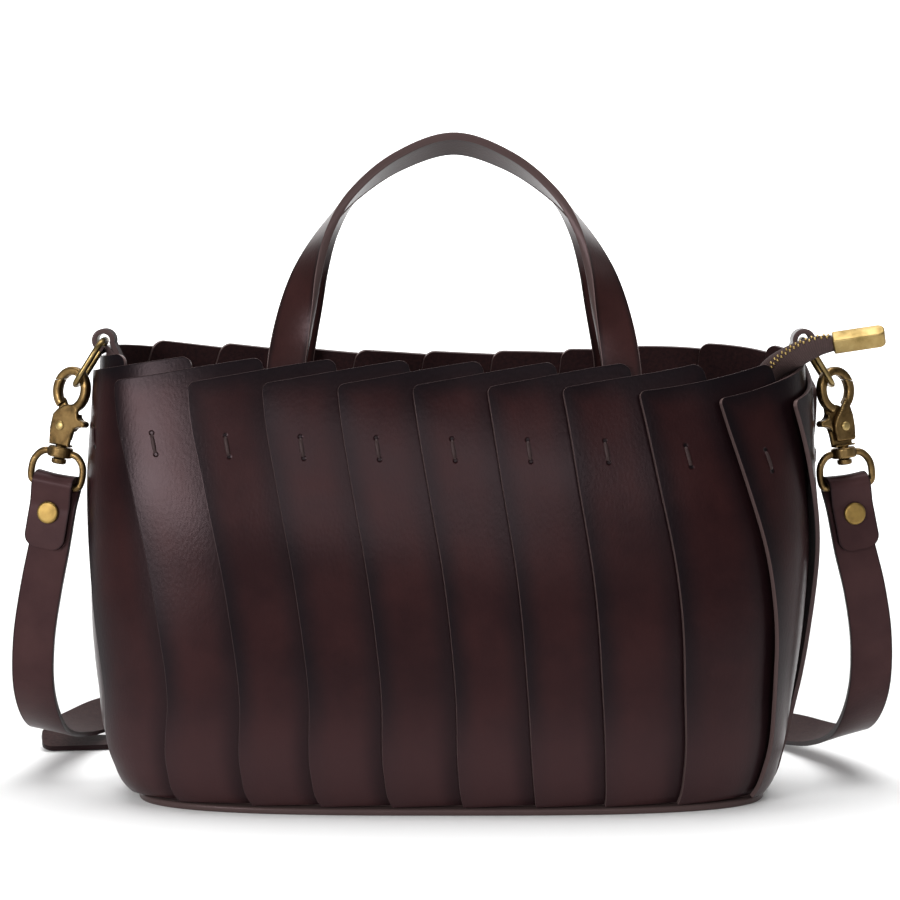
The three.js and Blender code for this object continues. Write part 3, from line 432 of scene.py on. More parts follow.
def rounded_oblong(angle, half_width, half_depth, power=PLAN_POWER):
    """Places on a plan between an ellipse and a rectangle."""
    x, y = (np.sign(v) * np.abs(v) ** (2 / power) for v in (np.cos(angle), np.sin(angle)))
    return np.stack([x * half_width, y * half_depth], axis=-1)


def unit(vectors):
    return vectors / np.linalg.norm(vectors, axis=-1, keepdims=True)


def run_along(centre):
    """The length of the path up to each of its places."""
    return np.concatenate([[0], np.cumsum(np.linalg.norm(np.diff(centre, axis=0), axis=1))])


def measured_plans():
    """Points at even steps round the plan at each height of the table, and the way round."""
    rounded = rounded_oblong(np.linspace(-np.pi, np.pi, 4 * PLAN_STEPS + 1), 1, 1).T
    plans, lengths = [], []
    for z in TABLE_Z:
        half_width, half_depth = half_sizes(z)
        share, y = rounded[0], half_depth * rounded[1]
        tuck = wall_column(z, TUCK) * MM * np.maximum(0, share) ** END_POWER
        bulge = wall_column(z, BULGE) * MM * np.maximum(0, -share) ** END_POWER * smoothstep(y, *BULGE_Y)
        x = half_width * share - tuck - bulge
        run = run_along(np.stack([x, y], axis=-1))
        even = np.linspace(0, run[-1], PLAN_STEPS + 1)
        plans.append(np.stack([np.interp(even, run, x), np.interp(even, run, y)], axis=-1))
        lengths.append(run[-1])
    return np.array(plans), np.array(lengths)


PLANS, WAY_ROUND = measured_plans()
RIM_WAY = float(np.interp(RIM_Z, TABLE_Z, WAY_ROUND))


def wall_point(fraction, z):
    row = np.clip(z / TABLE_STEP, 0, len(TABLE_Z) - 1.001)
    column = (fraction % 1) * PLAN_STEPS
    r, c = row.astype(int), np.minimum(column.astype(int), PLAN_STEPS - 1)
    s, t = (row - r)[..., None], (column - c)[..., None]
    low = PLANS[r, c] * (1 - t) + PLANS[r, c + 1] * t
    high = PLANS[r + 1, c] * (1 - t) + PLANS[r + 1, c + 1] * t
    return np.concatenate([low * (1 - s) + high * s, z[..., None]], axis=-1)


def wall_normal(fraction, z, reach=0.004, rise=2.5 * MM):
    along = wall_point(fraction + reach, z) - wall_point(fraction - reach, z)
    up = wall_point(fraction, z + rise) - wall_point(fraction, z - rise)
    return unit(np.cross(along, up))


print("way round the rim in mm:", round(RIM_WAY / MM, 1))

# %% [markdown]
# ## The panels
# A panel is a strip of flat leather bent round the wall. Its left edge lies over its neighbour
# and its right edge under the next one, so it stands two layers off the wall on the left and lies
# on the wall on the right. The strip could be drawn as a solid, but a sheet is simpler: a grid is
# bent into place, Solidify gives it the thickness of the hide and Bevel rounds the cut edges.

# %% Sheets of leather
INNER_SLOT = 1
EDGE_SLOT = 2
EDGE_ANGLE = math.radians(50)


def bent_sheet(columns, rows, place):
    """A grid, bent by place(across, up), which gives points, distances to the edge and flat places."""
    bm = bmesh.new()
    flat_layer = bm.loops.layers.uv.new("flat")
    edge_layer = bm.verts.layers.float.new("edge")
    bmesh.ops.create_grid(bm, x_segments=columns, y_segments=rows, size=1)
    bm.verts.index_update()
    shares = np.array([vert.co[:2] for vert in bm.verts])
    across, up = ((shares - shares.min(axis=0)) / np.ptp(shares, axis=0)).T
    points, edges, flat = place(across, up)
    for vert, point, distance in zip(bm.verts, points, edges):
        vert.co = point
        vert[edge_layer] = distance
    for face in bm.faces:
        for loop in face.loops:
            loop[flat_layer].uv = flat[loop.vert.index]
    return bm


def make_piece(bm, name, materials, nodes=(), body=BODY):
    """Turns a bmesh into a piece that rides on a body and stands for its CAD nodes."""
    piece = mesh_object(bm, name)
    for material in materials:
        piece.data.materials.append(material)
    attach(piece, body)
    if nodes:
        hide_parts(*nodes)
    return piece


def sheet_piece(bm, name, materials, node, thickness, edge_round):
    """A sheet with a thickness. Its materials are its outer side's, its inner side's and its cut edge's."""
    piece = make_piece(bm, name, materials, [node])
    wall = piece.modifiers.new("thickness", "SOLIDIFY")
    wall.thickness = thickness
    wall.offset = 0
    wall.use_even_offset = True
    wall.material_offset = INNER_SLOT
    wall.material_offset_rim = EDGE_SLOT
    rounding = piece.modifiers.new("rounded_edge", "BEVEL")
    rounding.width = edge_round
    rounding.segments = 2
    rounding.limit_method = "ANGLE"
    rounding.material = EDGE_SLOT
    rounding.angle_limit = EDGE_ANGLE


def eased(share, ends=0.8):
    """Spaces a grid's lines closer together near both edges."""
    return share - ends * np.sin(2 * np.pi * share) / (2 * np.pi)


# %% Panels
PANEL_ROUND = 0.6 * MM
RIM_FRONT_TILT = 1.9 * MM
RIM_BACK_RISE = 0.3 * MM
RIM_BACK_SAG = 8.5 * MM
TOP_EDGE_DROP = {"front": 11.6 * MM, "back": 5 * MM, "more": 4.5 * MM, "more_at": (0.35, 0.85)}
TOP_EDGE_CROWN = 0.4 * MM
CORNER_RADIUS = {"left": 2.4 * MM, "right": 4 * MM}
SEAT_HEIGHT = 2.95 * MM
SEAT_ROUNDS = 6
BOTTOM_EDGE_RISE = 1.2 * MM
EDGE_LIFT = 0.7 * MM
OTHER_LIFTS = {1: 0.35 * MM, 10: 2.2 * MM, 11: 2 * MM, 22: 1 * MM}
LIFT_SPREAD = 0.4
LIFT_FULL_Z = 46 * MM
CORNER_CURL = {"height": 0.9 * MM, "across": 11 * MM, "down": 20 * MM}
UNCURLED = (1, 12, 21, 22)
WAVE = {"height": 0.3 * MM, "turns": (7, 4), "lengths": (130 * MM, 90 * MM), "fade": (12 * MM, 40 * MM)}
PANEL_GRID = (40, 76)
PANEL_WIDTH = 2 * RIM_WAY / PANEL_COUNT


def top_edge_height(points, across):
    """The rim falls a little to the right in front and sags behind. Each top edge falls to its left."""
    half_width, half_depth = half_sizes(RIM_Z)
    share = points[..., 0] / half_width
    back_share = ((1 + points[..., 1] / half_depth) / 2) ** 2
    front_rim = RIM_Z - RIM_FRONT_TILT * share
    back_rim = RIM_Z + RIM_BACK_RISE + RIM_BACK_SAG * share ** 2
    more = TOP_EDGE_DROP["more"] * smoothstep(share, *TOP_EDGE_DROP["more_at"])
    front_drop = TOP_EDGE_DROP["front"] + more
    rim = front_rim + (back_rim - front_rim) * back_share
    return rim - (front_drop + (TOP_EDGE_DROP["back"] - front_drop) * back_share) * (1 - across)


def corner_drop(distance, radius):
    """How far a rounded corner lies below the straight edge, at a distance from the side."""
    inside = np.clip(radius - distance, 0, radius)
    return radius - np.sqrt(radius ** 2 - inside ** 2)


def panel_surface(number, across, up=None, below_top=None):
    """The middle of a panel's leather: points, normals, and distances from the left and the top."""
    panels = number - 1 + 2 * across
    lift = OTHER_LIFTS.get(number, EDGE_LIFT)
    edge_share = np.maximum(0, 1 - across / LIFT_SPREAD) ** 2
    from_left = across * PANEL_WIDTH

    def fraction_at(z):
        along = (RIM_Z / 2 - z) * LEAN + drift(panels, z)
        return PANEL_PHASE + panels / PANEL_COUNT + along / np.interp(z, TABLE_Z, WAY_ROUND)

    def stand(z):
        return 2 * LAYER_STEP * (1 - across) + lift * edge_share * np.minimum(1, z / LIFT_FULL_Z)

    rim = np.full_like(across, RIM_Z)
    straight = top_edge_height(wall_point(fraction_at(rim), rim), across)
    straight = straight + TOP_EDGE_CROWN * 4 * across * (1 - across)
    corner = corner_drop(from_left, CORNER_RADIUS["left"])
    corner = corner + corner_drop(PANEL_WIDTH - from_left, CORNER_RADIUS["right"])
    top = straight - corner
    seat = SEAT_HEIGHT + BOTTOM_EDGE_RISE * across
    bottom = seat
    for _ in range(SEAT_ROUNDS):
        slope = wall_normal(fraction_at(bottom), bottom)[..., 2]
        bottom = seat - slope * (stand(bottom) + PANEL_THICKNESS)
    z = straight - below_top if up is None else bottom + (top - bottom) * up
    fraction = fraction_at(z)
    from_top = straight - z
    rising = np.sin(2 * np.pi * (WAVE["turns"][0] * fraction + z / WAVE["lengths"][0]))
    falling = np.sin(2 * np.pi * (z / WAVE["lengths"][1] - WAVE["turns"][1] * fraction))
    wave = WAVE["height"] * rising * falling
    offset = stand(z) + PANEL_THICKNESS / 2 + wave * smoothstep(z, *WAVE["fade"])
    if number not in UNCURLED:
        near = np.exp(-(from_left / CORNER_CURL["across"]) ** 2 - (from_top / CORNER_CURL["down"]) ** 2)
        offset = offset + CORNER_CURL["height"] * near
    normal = wall_normal(fraction, z)
    return wall_point(fraction, z) + normal * offset[..., None], normal, from_left, from_top


def panel_place(number):
    def place(across, up):
        across, up = eased(across), eased(up)
        points, _, from_left, from_top = panel_surface(number, across, up)
        edges = np.minimum(np.minimum(from_left, PANEL_WIDTH - from_left), from_top)
        return points, edges, np.stack([from_left, from_top], axis=-1)
    return place


for number in range(1, PANEL_COUNT + 1):
    sheet = bent_sheet(*PANEL_GRID, panel_place(number))
    sheet_piece(sheet, f"leather_panel_{number:02d}", [panel_leather, panel_flesh, cut_edge_painted_highlight],
                f"panel_{number:02d}", PANEL_THICKNESS, PANEL_ROUND)
print("panels:", PANEL_COUNT, "each", round(PANEL_WIDTH / MM, 1), "mm wide")

# %% [markdown]
# ## The base
# The base is one oval plate of the same hide under the wall. Its cut edge shows below the panels as
# a thin lip. Its middle lies a little to the left, because the wall's right end is tucked in. A
# circle that is pressed to the rounded oblong, extruded and bevelled makes it.

# %% Base
BASE_HALF = (125.6 * MM, 49.4 * MM)
BASE_MIDDLE_X = -1 * MM
BASE_THICKNESS = 2.6 * MM
BASE_STEPS = 160
BASE_ROUND = 0.8 * MM
# An edge that bends by more than this, in radians, is at the rim.
RIM_ANGLE = 1


def base_plate():
    bm = bmesh.new()
    bm.verts.layers.float.new("edge")
    bmesh.ops.create_circle(bm, cap_ends=True, segments=BASE_STEPS, radius=1)
    for vert in bm.verts:
        vert.co.xy = rounded_oblong(math.atan2(vert.co.y, vert.co.x), *BASE_HALF)
    bmesh.ops.translate(bm, verts=bm.verts[:], vec=(BASE_MIDDLE_X, 0, 0))
    raised = bmesh.ops.extrude_face_region(bm, geom=bm.faces[:])["geom"]
    bmesh.ops.translate(bm, verts=of_kind(raised, BMVert), vec=(0, 0, BASE_THICKNESS))
    face_outward(bm)
    rims = [e for e in bm.edges if abs(e.calc_face_angle(0)) > RIM_ANGLE]
    round_edges(bm, rims, BASE_ROUND, 3)
    return bm


# The base shows only as its lip, so it takes the cut edge's tone with its painted highlight.
make_piece(base_plate(), "leather_base", [cut_edge_painted_highlight], ["base"])
print("base in mm:", [round(2 * half / MM, 1) for half in BASE_HALF])

# %% [markdown]
# ## Paths and ribbons
# Handles, straps, loops and tapes are ribbons. Each follows a smooth curve through a few places,
# and at each place the direction across the ribbon is known. A grid bent along the curve gives the
# ribbon, and its length and width give the flat places of its pattern.


# %% Curves, ribbons and tubes
WELD = 0.002 * MM


def path_through(points, count, even=False):
    """Places along a smooth curve through the points, which are evenly spaced if even."""
    points = np.array(points, float)
    padded = np.vstack([2 * points[0] - points[1], points, 2 * points[-1] - points[-2]])
    place = np.linspace(0, len(points) - 1, count)
    i = np.minimum(place.astype(int), len(points) - 2)
    t = (place - i)[:, None]
    p0, p1, p2, p3 = (padded[i + k] for k in range(4))
    if even:
        out, into = (p2 - p0) / 2, (p3 - p1) / 2
    else:
        d0, d1, d2 = (np.sqrt(np.linalg.norm(b - a, axis=1, keepdims=True))
                      for a, b in ((p0, p1), (p1, p2), (p2, p3)))
        out = ((p1 - p0) / d0 - (p2 - p0) / (d0 + d1) + (p2 - p1) / d1) * d1
        into = ((p2 - p1) / d1 - (p3 - p1) / (d1 + d2) + (p3 - p2) / d2) * d1
    return between(p1, p2, out, into, t)


def directions(centre):
    return unit(np.gradient(centre, axis=0))


def ribbon(centre, side, width, columns=10):
    """A sheet along a path, with its edges at half its width along the side directions."""
    tangent = directions(centre)
    side = np.broadcast_to(side, centre.shape)
    side = unit(side - tangent * np.sum(side * tangent, axis=1, keepdims=True))
    width = np.broadcast_to(width, len(centre))
    run = run_along(centre)

    def place(across, up):
        step = np.rint(up * (len(centre) - 1)).astype(int)
        share = eased(across)
        reach = (share - 0.5) * width[step]
        points = centre[step] + side[step] * reach[:, None]
        edges = np.minimum(share, 1 - share) * width[step]
        return points, edges, np.stack([share * width[step], run[step]], axis=-1)

    return bent_sheet(columns, len(centre) - 1, place)


def rolled_tube(centre, up, half_side, half_up, closed=False, sides=16, power=2):
    """A tube along a path: a grid rolled round it, with its seam welded and its ends filled."""
    if closed:
        centre = np.vstack([centre, centre[:1]])
        tangent = unit(np.roll(centre[:-1], -1, axis=0) - np.roll(centre[:-1], 1, axis=0))
        tangent = np.vstack([tangent, tangent[:1]])
    else:
        tangent = directions(centre)
    up = np.broadcast_to(up, centre.shape)
    side = unit(np.cross(tangent, up))
    up = np.cross(side, tangent)
    half_side, half_up = (np.broadcast_to(half, len(centre)) for half in (half_side, half_up))
    run = run_along(centre)

    def place(across, along):
        step = np.rint(along * (len(centre) - 1)).astype(int)
        angle = 2 * np.pi * (across % 1)
        section = rounded_oblong(angle, half_side[step], half_up[step], power)
        points = centre[step] + side[step] * section[:, :1] + up[step] * section[:, 1:]
        return points, np.zeros_like(across), np.stack([across, run[step]], axis=-1)

    bm = bent_sheet(sides, len(centre) - 1, place)
    bmesh.ops.remove_doubles(bm, verts=bm.verts[:], dist=WELD)
    open_edges = [e for e in bm.edges if e.is_boundary]
    if open_edges:
        bmesh.ops.holes_fill(bm, edges=open_edges, sides=0)
    face_outward(bm)
    return bm


# %% [markdown]
# ## The handles
# Each handle is a flat strap of thick hide. It goes down inside the wall and turns through a
# quarter twist as it rises, so that its broad side lies in the palm at the top. The twist is one
# more column of the table of places.

# %% Handles
HANDLE = {"width": 15 * MM, "thickness": 3.3 * MM, "crown_inset": 8.6 * MM, "seat_gap": 0.35 * MM,
          "round": 0.8 * MM}
HANDLE_STEPS = 150
# Columns: distance from the middle and height in mm, and twist in degrees.
HANDLE_HALF = np.array([
    (67.5, 146, 0), (66, 162, 0), (64.6, 177, 4), (61.4, 194, 24), (57, 211, 52),
    (50, 226.5, 78), (39.5, 240.5, 94), (22, 253.5, 106), (0, 260.5, 112),
])


def wall_depth(x, z):
    half_width, half_depth = half_sizes(z)
    return half_depth * (1 - abs(x / half_width) ** PLAN_POWER) ** (1 / PLAN_POWER)


def handle_sheet(turn):
    """turn is 1 for the front handle, and -1 for the back one, which is turned half round."""
    rows = [(-x * MM, z * MM, twist) for x, z, twist in HANDLE_HALF]
    rows += [(x * MM, z * MM, twist) for x, z, twist in HANDLE_HALF[-2::-1]]
    crown = HANDLE_HALF[-1][1] * MM
    points, twists = [], []
    for x, z, twist in rows:
        seat = wall_depth(abs(x) + HANDLE["width"] / 2, min(z, RIM_Z))
        seat = seat - HANDLE["seat_gap"] - HANDLE["thickness"] / 2
        rise = min(max((z - RIM_Z) / (crown - RIM_Z), 0), 1)
        points.append((turn * x, -turn * (seat + (HANDLE["crown_inset"] - seat) * rise), z))
        twists.append((math.radians(twist), 0, 0))
    centre = path_through(points, HANDLE_STEPS, even=True)
    angle = path_through(twists, HANDLE_STEPS, even=True)[:, :1]
    tangent = directions(centre)
    front = unit(np.array((0, turn, 0)) - tangent * (turn * tangent[:, 1:2]))
    outward = np.cross(tangent, front)
    return ribbon(centre, outward * np.cos(angle) + front * np.sin(angle), HANDLE["width"])


for name, turn in (("front", 1), ("back", -1)):
    sheet_piece(handle_sheet(turn), f"strap_handle_{name}", [handle_leather, handle_leather, cut_edge_painted_highlight],
                f"handle_{name}", HANDLE["thickness"], HANDLE["round"])
print("handle steps:", HANDLE_STEPS)

# %% [markdown]
# ## The brass
# The fittings are cast brass with an antique finish: dull and dark in places, and rubbed bright on
# the parts that are handled. Metal keeps its colour in its reflections, so the base colour is
# mixed from three brass tones by a soft noise, and the same noise makes the dull parts rougher.
# The castings' edges are found by how sharply their mesh bends, and get a lighter tone, which is partly
# rubbed wear and partly a painted highlight.


# %% Brass
CAST_CLOUD = 7 * MM
CAST_GRIT = {"size": 0.7 * MM, "depth": 0.15 * MM}
# Places of the dark, worn and bright tones in the cloud.
TONE_PLACES = (0.3, 0.47, 0.68)
DULL = {"range": (0.35, 0.65), "rougher": 0.12}
EDGE_BEND = (0.515, 0.59)


def brass(name, bright, worn, dark, dullness, grit=0.12, edge_wear_and_highlight=None):
    """Antique brass in three tones. edge_wear_and_highlight is the lighter tone of its edges, partly rubbed
    wear and partly a painted highlight, where it has any.
    """
    material, tree = new_material(name)
    place = object_place(tree)
    cloud = noise(tree, place, CAST_CLOUD, 4, 0.6)
    ramp = add_node(tree, "ShaderNodeValToRGB", {"Fac": cloud})
    tones = ramp.color_ramp.elements
    tones.new(TONE_PLACES[1])
    for element, at, tone in zip(tones, TONE_PLACES, (dark, worn, bright)):
        element.position = at
        element.color = linear(tone)
    colour = ramp.outputs["Color"]
    if edge_wear_and_highlight:
        # Lighter edges: partly rubbed wear, partly a painted highlight where the edges catch the light.
        bend = add_node(tree, "ShaderNodeNewGeometry").outputs["Pointiness"]
        colour = mixed(tree, ranged(tree, bend, EDGE_BEND), colour, edge_wear_and_highlight)
    grain = noise(tree, place, CAST_GRIT["size"], 3)
    finish_material(tree, {
        "Base Color": colour, "Metallic": 1,
        "Roughness": ranged(tree, cloud, DULL["range"], (dullness + DULL["rougher"], dullness)),
        "Normal": bumped(tree, grain, grit, CAST_GRIT["depth"])})
    return material


def brass_piece(bm, name, finish, node, body=BODY):
    return make_piece(bm, name, [finish], [node], body)


cast_brass = brass("cast_brass", "#8a7149", "#6c5636", "#3b2d1a", 0.34, grit=0.25, edge_wear_and_highlight="#b19565")
wire_brass = brass("wire_brass", "#97845c", "#7b6841", "#463922", 0.3)
cap_brass = brass("cap_brass", "#b39c68", "#a48c5a", "#8a7547", 0.4)
rivet_brass = brass("rivet_brass", "#9a8049", "#8f7543", "#796237", 0.4)
print("brass:", cast_brass.name, wire_brass.name, cap_brass.name)

# %% [markdown]
# ## Loops and rings
# A narrow tab of hide goes up from between the panels at each end, turns round a ring and comes
# down again. Its side view is a line, so the tab is a ribbon along that line. The ring is a tube
# along a rounded oblong. Both are made for the right end, and turned half round for the left one.

# %% Loops and rings
LOOP = {"width": 10 * MM, "thickness": 2 * MM, "x": 139.6 * MM, "z": 182.6 * MM, "radius": 3.6 * MM,
        "round": 0.5 * MM}
LOOP_STEMS = {"outer_x": 135.5 * MM, "inner_x": 133.25 * MM, "bottom": 153 * MM, "outer_top": 175.2 * MM,
              "inner_top": 174.6 * MM}
LOOP_TURN = (-115, 195)
LOOP_STEPS = {"turn": 28, "stem": 5, "path": 120}
RING = {"wire": 1.2 * MM, "length": 21 * MM, "width": 21.6 * MM, "swing": math.radians(32.2), "power": 4}
RING_STEPS = 96
RING_DOWN = np.array((math.sin(RING["swing"]), 0, -math.cos(RING["swing"])))
LOOP_EYE = np.array((LOOP["x"], 0, LOOP["z"]))
RING_FOOT = LOOP_EYE + RING_DOWN * RING["length"]


def half_turn(points, side):
    """The same places for the right end, or turned half round the upright axis for the left."""
    return points * np.array((side, side, 1))


def loop_sheet(side):
    stem, steps = LOOP_STEMS, LOOP_STEPS
    turn = np.radians(np.linspace(*LOOP_TURN, steps["turn"]))
    eye = [(LOOP["x"] + LOOP["radius"] * math.cos(a), 0, LOOP["z"] + LOOP["radius"] * math.sin(a))
           for a in turn]
    up = [(stem["outer_x"], 0, z) for z in np.linspace(stem["bottom"], stem["outer_top"], steps["stem"])]
    down = [(stem["inner_x"], 0, z) for z in np.linspace(stem["inner_top"], stem["bottom"], steps["stem"])]
    centre = path_through(up + eye + down, steps["path"])
    return ribbon(half_turn(centre, side), (0, 1, 0), LOOP["width"], columns=8)


def ring_tube(side):
    angles = (np.arange(RING_STEPS) + 0.5) / RING_STEPS * 2 * math.pi
    plan = rounded_oblong(angles, RING["length"] / 2, RING["width"] / 2, RING["power"])
    middle = LOOP_EYE + RING_DOWN * RING["length"] / 2
    centre = middle + plan[:, :1] * RING_DOWN + plan[:, 1:] * np.array((0, 1, 0))
    flat = np.cross(RING_DOWN, (0, 1, 0))
    wire = RING["wire"]
    return rolled_tube(half_turn(centre, side), half_turn(flat, side), wire, wire, closed=True)


SIDES = {"left": -1, "right": 1}
for name, side in SIDES.items():
    sheet_piece(loop_sheet(side), f"tab_loop_{name}", [handle_leather, panel_flesh, cut_edge_painted_highlight],
                f"{name}_loop", LOOP["thickness"], LOOP["round"])
    brass_piece(ring_tube(side), f"wire_ring_{name}", wire_brass, f"{name}_ring")
print("ring foot in mm:", (RING_FOOT / MM).round(1))

# %% [markdown]
# ## Trigger clasps
# Each clasp is a brass casting: an oval eye split into a fixed hook and a sprung gate, cheek
# plates round a rivet, a thumb spur, and a post that carries the swivel. Plates cut from outlines
# and swept arms are laid through each other, and a fine voxel remesh with a little smoothing melts
# them into one casting with soft edges. Gate and hook stay two pieces, so that the gate can swing.
# Their arms are cut square to the line from the gate's pivot, so the gate comes away freely.

# %% Clasp shapes, in mm: x across, z along the clasp, front towards -y
CLASP_HALF = 2.3
PLATE_PROUD = 0.1
EYE = {"x": 0.6, "z": 25.3, "half_x": 6.34, "half_z": 7.69, "half_wire": 1.75}
ARM = {"steps": 40, "sides": 24, "power": 3.2}
STRAND_DEGREES = (-70, 166)
GATE_DEGREES = (144, 236)
JOINT_DEGREES = 155
JOINT_GAP = 0.14
PIVOT = (-0.8, 10.6)
SPLIT = {"front": 0.25, "back": -0.1}
SPUR_EDGE = [
    (5.6, 10.4), (7.2, 11.3), (9.4, 11.5), (10.1, 12.3), (10, 13.3), (9.2, 13.9), (7.6, 14.2), (6.4, 15.1),
    (5.9, 16.6),
]
SPUR = [(4.8, 9), *SPUR_EDGE, (4.8, 13)]
FRONT_PLATE = [
    (-4.8, 2.6), (4.3, 2.6), (4.9, 8), *SPUR_EDGE, (6, 18.4), (3.6, 20), (0.6, 19.4), (-1, 18.9),
    (-2.2, 17.7), (-3.6, 16.8), (-5.2, 14.6), (-5.6, 9),
]
ROOT_BLOCK = [(-4.8, 2.6), (4.3, 2.6), (4.1, 3.4), (-4.7, 3.4)]
LEVER_PLATE = [
    (-4.6, 4.7), (2.6, 4.7), (3.4, 5.4), (3.9, 9), (3.8, 11.6), (2.6, 14.4), (0.2, 17.6), (-1.8, 20.6),
    (-2.7, 21.7), (-4.4, 19.6), (-4.5, 17.9), (-5.3, 14.6), (-5.6, 10), (-5.3, 5.4),
]
POST_PROFILE = [(0, -4.8), (2.4, -4.8), (3, -4.3), (3, -2.8), (2.1, -2.6), (2.1, 2.8), (0, 2.8)]
PLATE_BEVEL = 0.55
ROUND_STEPS = 32
VOXEL = 0.2 * MM
SMOOTHING = {"share": 0.5, "rounds": 4}


def add_plate(bm, outline, back, front):
    """A plate with the outline, between two depths measured towards the front."""
    face = bm.faces.new([bm.verts.new((x * MM, -back * MM, z * MM)) for x, z in outline])
    raised = bmesh.ops.extrude_face_region(bm, geom=[face], use_keep_orig=True)["geom"]
    bmesh.ops.translate(bm, verts=of_kind(raised, BMVert), vec=(0, (back - front) * MM, 0))
    rims = {edge for side in (*of_kind(raised, BMFace), face) for edge in side.edges}
    round_edges(bm, list(rims), PLATE_BEVEL * MM, 1)


def on_eye(turn):
    """A place on the middle line of the oval eye."""
    x, z = EYE["x"] + EYE["half_x"] * np.cos(turn), EYE["z"] + EYE["half_z"] * np.sin(turn)
    return np.stack([x, 0 * x, z], axis=-1) * MM


def add_arm(bm, degrees, outside):
    """An arm of the eye. It ends at the joint, which is cut square to the line from the gate's pivot."""
    centre = on_eye(np.radians(np.linspace(*degrees, ARM["steps"])))
    arm = rolled_tube(centre, (0, 1, 0), EYE["half_wire"] * MM, CLASP_HALF * MM, sides=ARM["sides"],
                      power=ARM["power"])
    joint = Vector(on_eye(np.radians(JOINT_DEGREES)))
    away = (joint - Vector((PIVOT[0], 0, PIVOT[1])) * MM).normalized() * (1 if outside else -1)
    faces = [f for f in arm.faces if f.calc_center_median().x < 0]
    borders = {item for f in faces for item in (*f.verts, *f.edges)}
    cut = bmesh.ops.bisect_plane(arm, geom=[*borders, *faces], plane_co=joint + away * JOINT_GAP / 2 * MM,
                                 plane_no=away, clear_inner=True)
    bmesh.ops.holes_fill(arm, edges=of_kind(cut["geom_cut"], BMEdge))
    add_part(bm, arm)


def add_part(bm, part):
    """Adds a part's mesh to bm, beside what is there."""
    mesh = bpy.data.meshes.new("part")
    part.to_mesh(mesh)
    part.free()
    bm.from_mesh(mesh)
    bpy.data.meshes.remove(mesh)


def turned(profile):
    """A round piece about the z axis. Its (radius, height) pairs end on the axis or close a ring."""
    bm = bmesh.new()
    verts = [bm.verts.new((r * MM, 0, z * MM)) for r, z in profile]
    edges = [bm.edges.new(pair) for pair in zip(verts, verts[1:])]
    bmesh.ops.spin(bm, geom=verts + edges, cent=(0, 0, 0), axis=(0, 0, 1), angle=2 * math.pi,
                   steps=ROUND_STEPS, use_merge=True)
    bmesh.ops.remove_doubles(bm, verts=bm.verts[:], dist=WELD)
    face_outward(bm)
    return bm


def melted(bm):
    """The parts in bm as one casting: voxel remesh, then smoothing."""
    face_outward(bm)
    rough = mesh_object(bm, "casting")
    mesh = rough.data
    remesh = rough.modifiers.new("melt", "REMESH")
    remesh.mode = "VOXEL"
    remesh.voxel_size = VOXEL
    smooth = rough.modifiers.new("soften", "SMOOTH")
    smooth.factor = SMOOTHING["share"]
    smooth.iterations = SMOOTHING["rounds"]
    result = bmesh.new()
    result.from_object(rough, bpy.context.evaluated_depsgraph_get())
    bpy.data.objects.remove(rough)
    bpy.data.meshes.remove(mesh)
    return result


def hook_casting():
    bm = bmesh.new()
    add_arm(bm, STRAND_DEGREES, True)
    add_plate(bm, FRONT_PLATE, SPLIT["front"], CLASP_HALF + PLATE_PROUD)
    add_plate(bm, SPUR, -CLASP_HALF, CLASP_HALF)
    add_plate(bm, ROOT_BLOCK, -CLASP_HALF, CLASP_HALF)
    add_part(bm, turned(POST_PROFILE))
    return melted(bm)


def gate_casting():
    bm = bmesh.new()
    add_arm(bm, GATE_DEGREES, False)
    add_plate(bm, LEVER_PLATE, -CLASP_HALF - PLATE_PROUD, SPLIT["back"])
    return melted(bm)


print("clasp outlines:", len(FRONT_PLATE), len(LEVER_PLATE))

# %% [markdown]
# ## Clasps in their places
# The castings are made in the clasp's own frame and then set in place: the foot of the ring lies in
# the hook's eye, and each clasp leans and turns a little as it hangs. The D-shaped eye swivels on
# the post, so it has a turn of its own.

# %% Clasps, eyes and pivot pins
CLASPS = {
    "left": {"side": -1, "lean": 10, "turn": -24, "eye_turn": -12, "slant": 0},
    "right": {"side": 1, "lean": -7, "turn": 204, "eye_turn": 10, "slant": 0.08},
}
RING_IN_EYE = Vector((2 * MM, 0, 27.6 * MM))
HOOK_ALONG_RING = -4 * MM
EYE_WIRE = 1.45
EYE_BAR_Z = -13.2
EYE_STEPS = 110
# Half of the D-shaped wire, from the collar round to the end of its bar.
EYE_HALF = [(3.7, 0), (7.4, -0.9), (10.2, -4.4), (10.8, -8.8), (10.2, -12.2), (8.9, EYE_BAR_Z)]
COLLAR_PROFILE = [
    (2.5, -2.1), (4.4, -2.1), (4.8, -1.9), (5, -1.4), (5, 1.4), (4.8, 1.9), (4.4, 2.1), (2.5, 2.1),
    (2.5, -2.1),
]
PIN_HEAD = [(0, 3.35), (0.8, 3.3), (1.45, 3.14), (1.8, 2.9), (1.9, 2.6), (0.85, 2.6)]


def turned_about(lean, turn):
    lean, turn = math.radians(lean), math.radians(turn)
    return Matrix.Rotation(lean, 4, "Y") @ Matrix.Rotation(turn, 4, "Z")


def clasp_place(clasp, turn):
    """Where the clasp's own frame lies on the bag, for the hook's turn or the eye's."""
    foot = Vector((clasp["side"] * RING_FOOT[0], HOOK_ALONG_RING, RING_FOOT[2]))
    origin = foot - turned_about(clasp["lean"], clasp["turn"]) @ RING_IN_EYE
    return Matrix.Translation(origin) @ turned_about(clasp["lean"], turn)


def placed(bm, matrix):
    bmesh.ops.transform(bm, matrix=matrix, verts=bm.verts[:])
    return bm


def both_heads(profile):
    """A pin with the same head at each end."""
    return profile + [(r, -z) for r, z in reversed(profile)]


def lying_pin(profile, x, z):
    """A turned pin laid along the clasp's y axis."""
    lie = Matrix.Translation((x * MM, 0, z * MM)) @ Matrix.Rotation(math.pi / 2, 4, "X")
    return placed(turned(both_heads(profile)), lie)


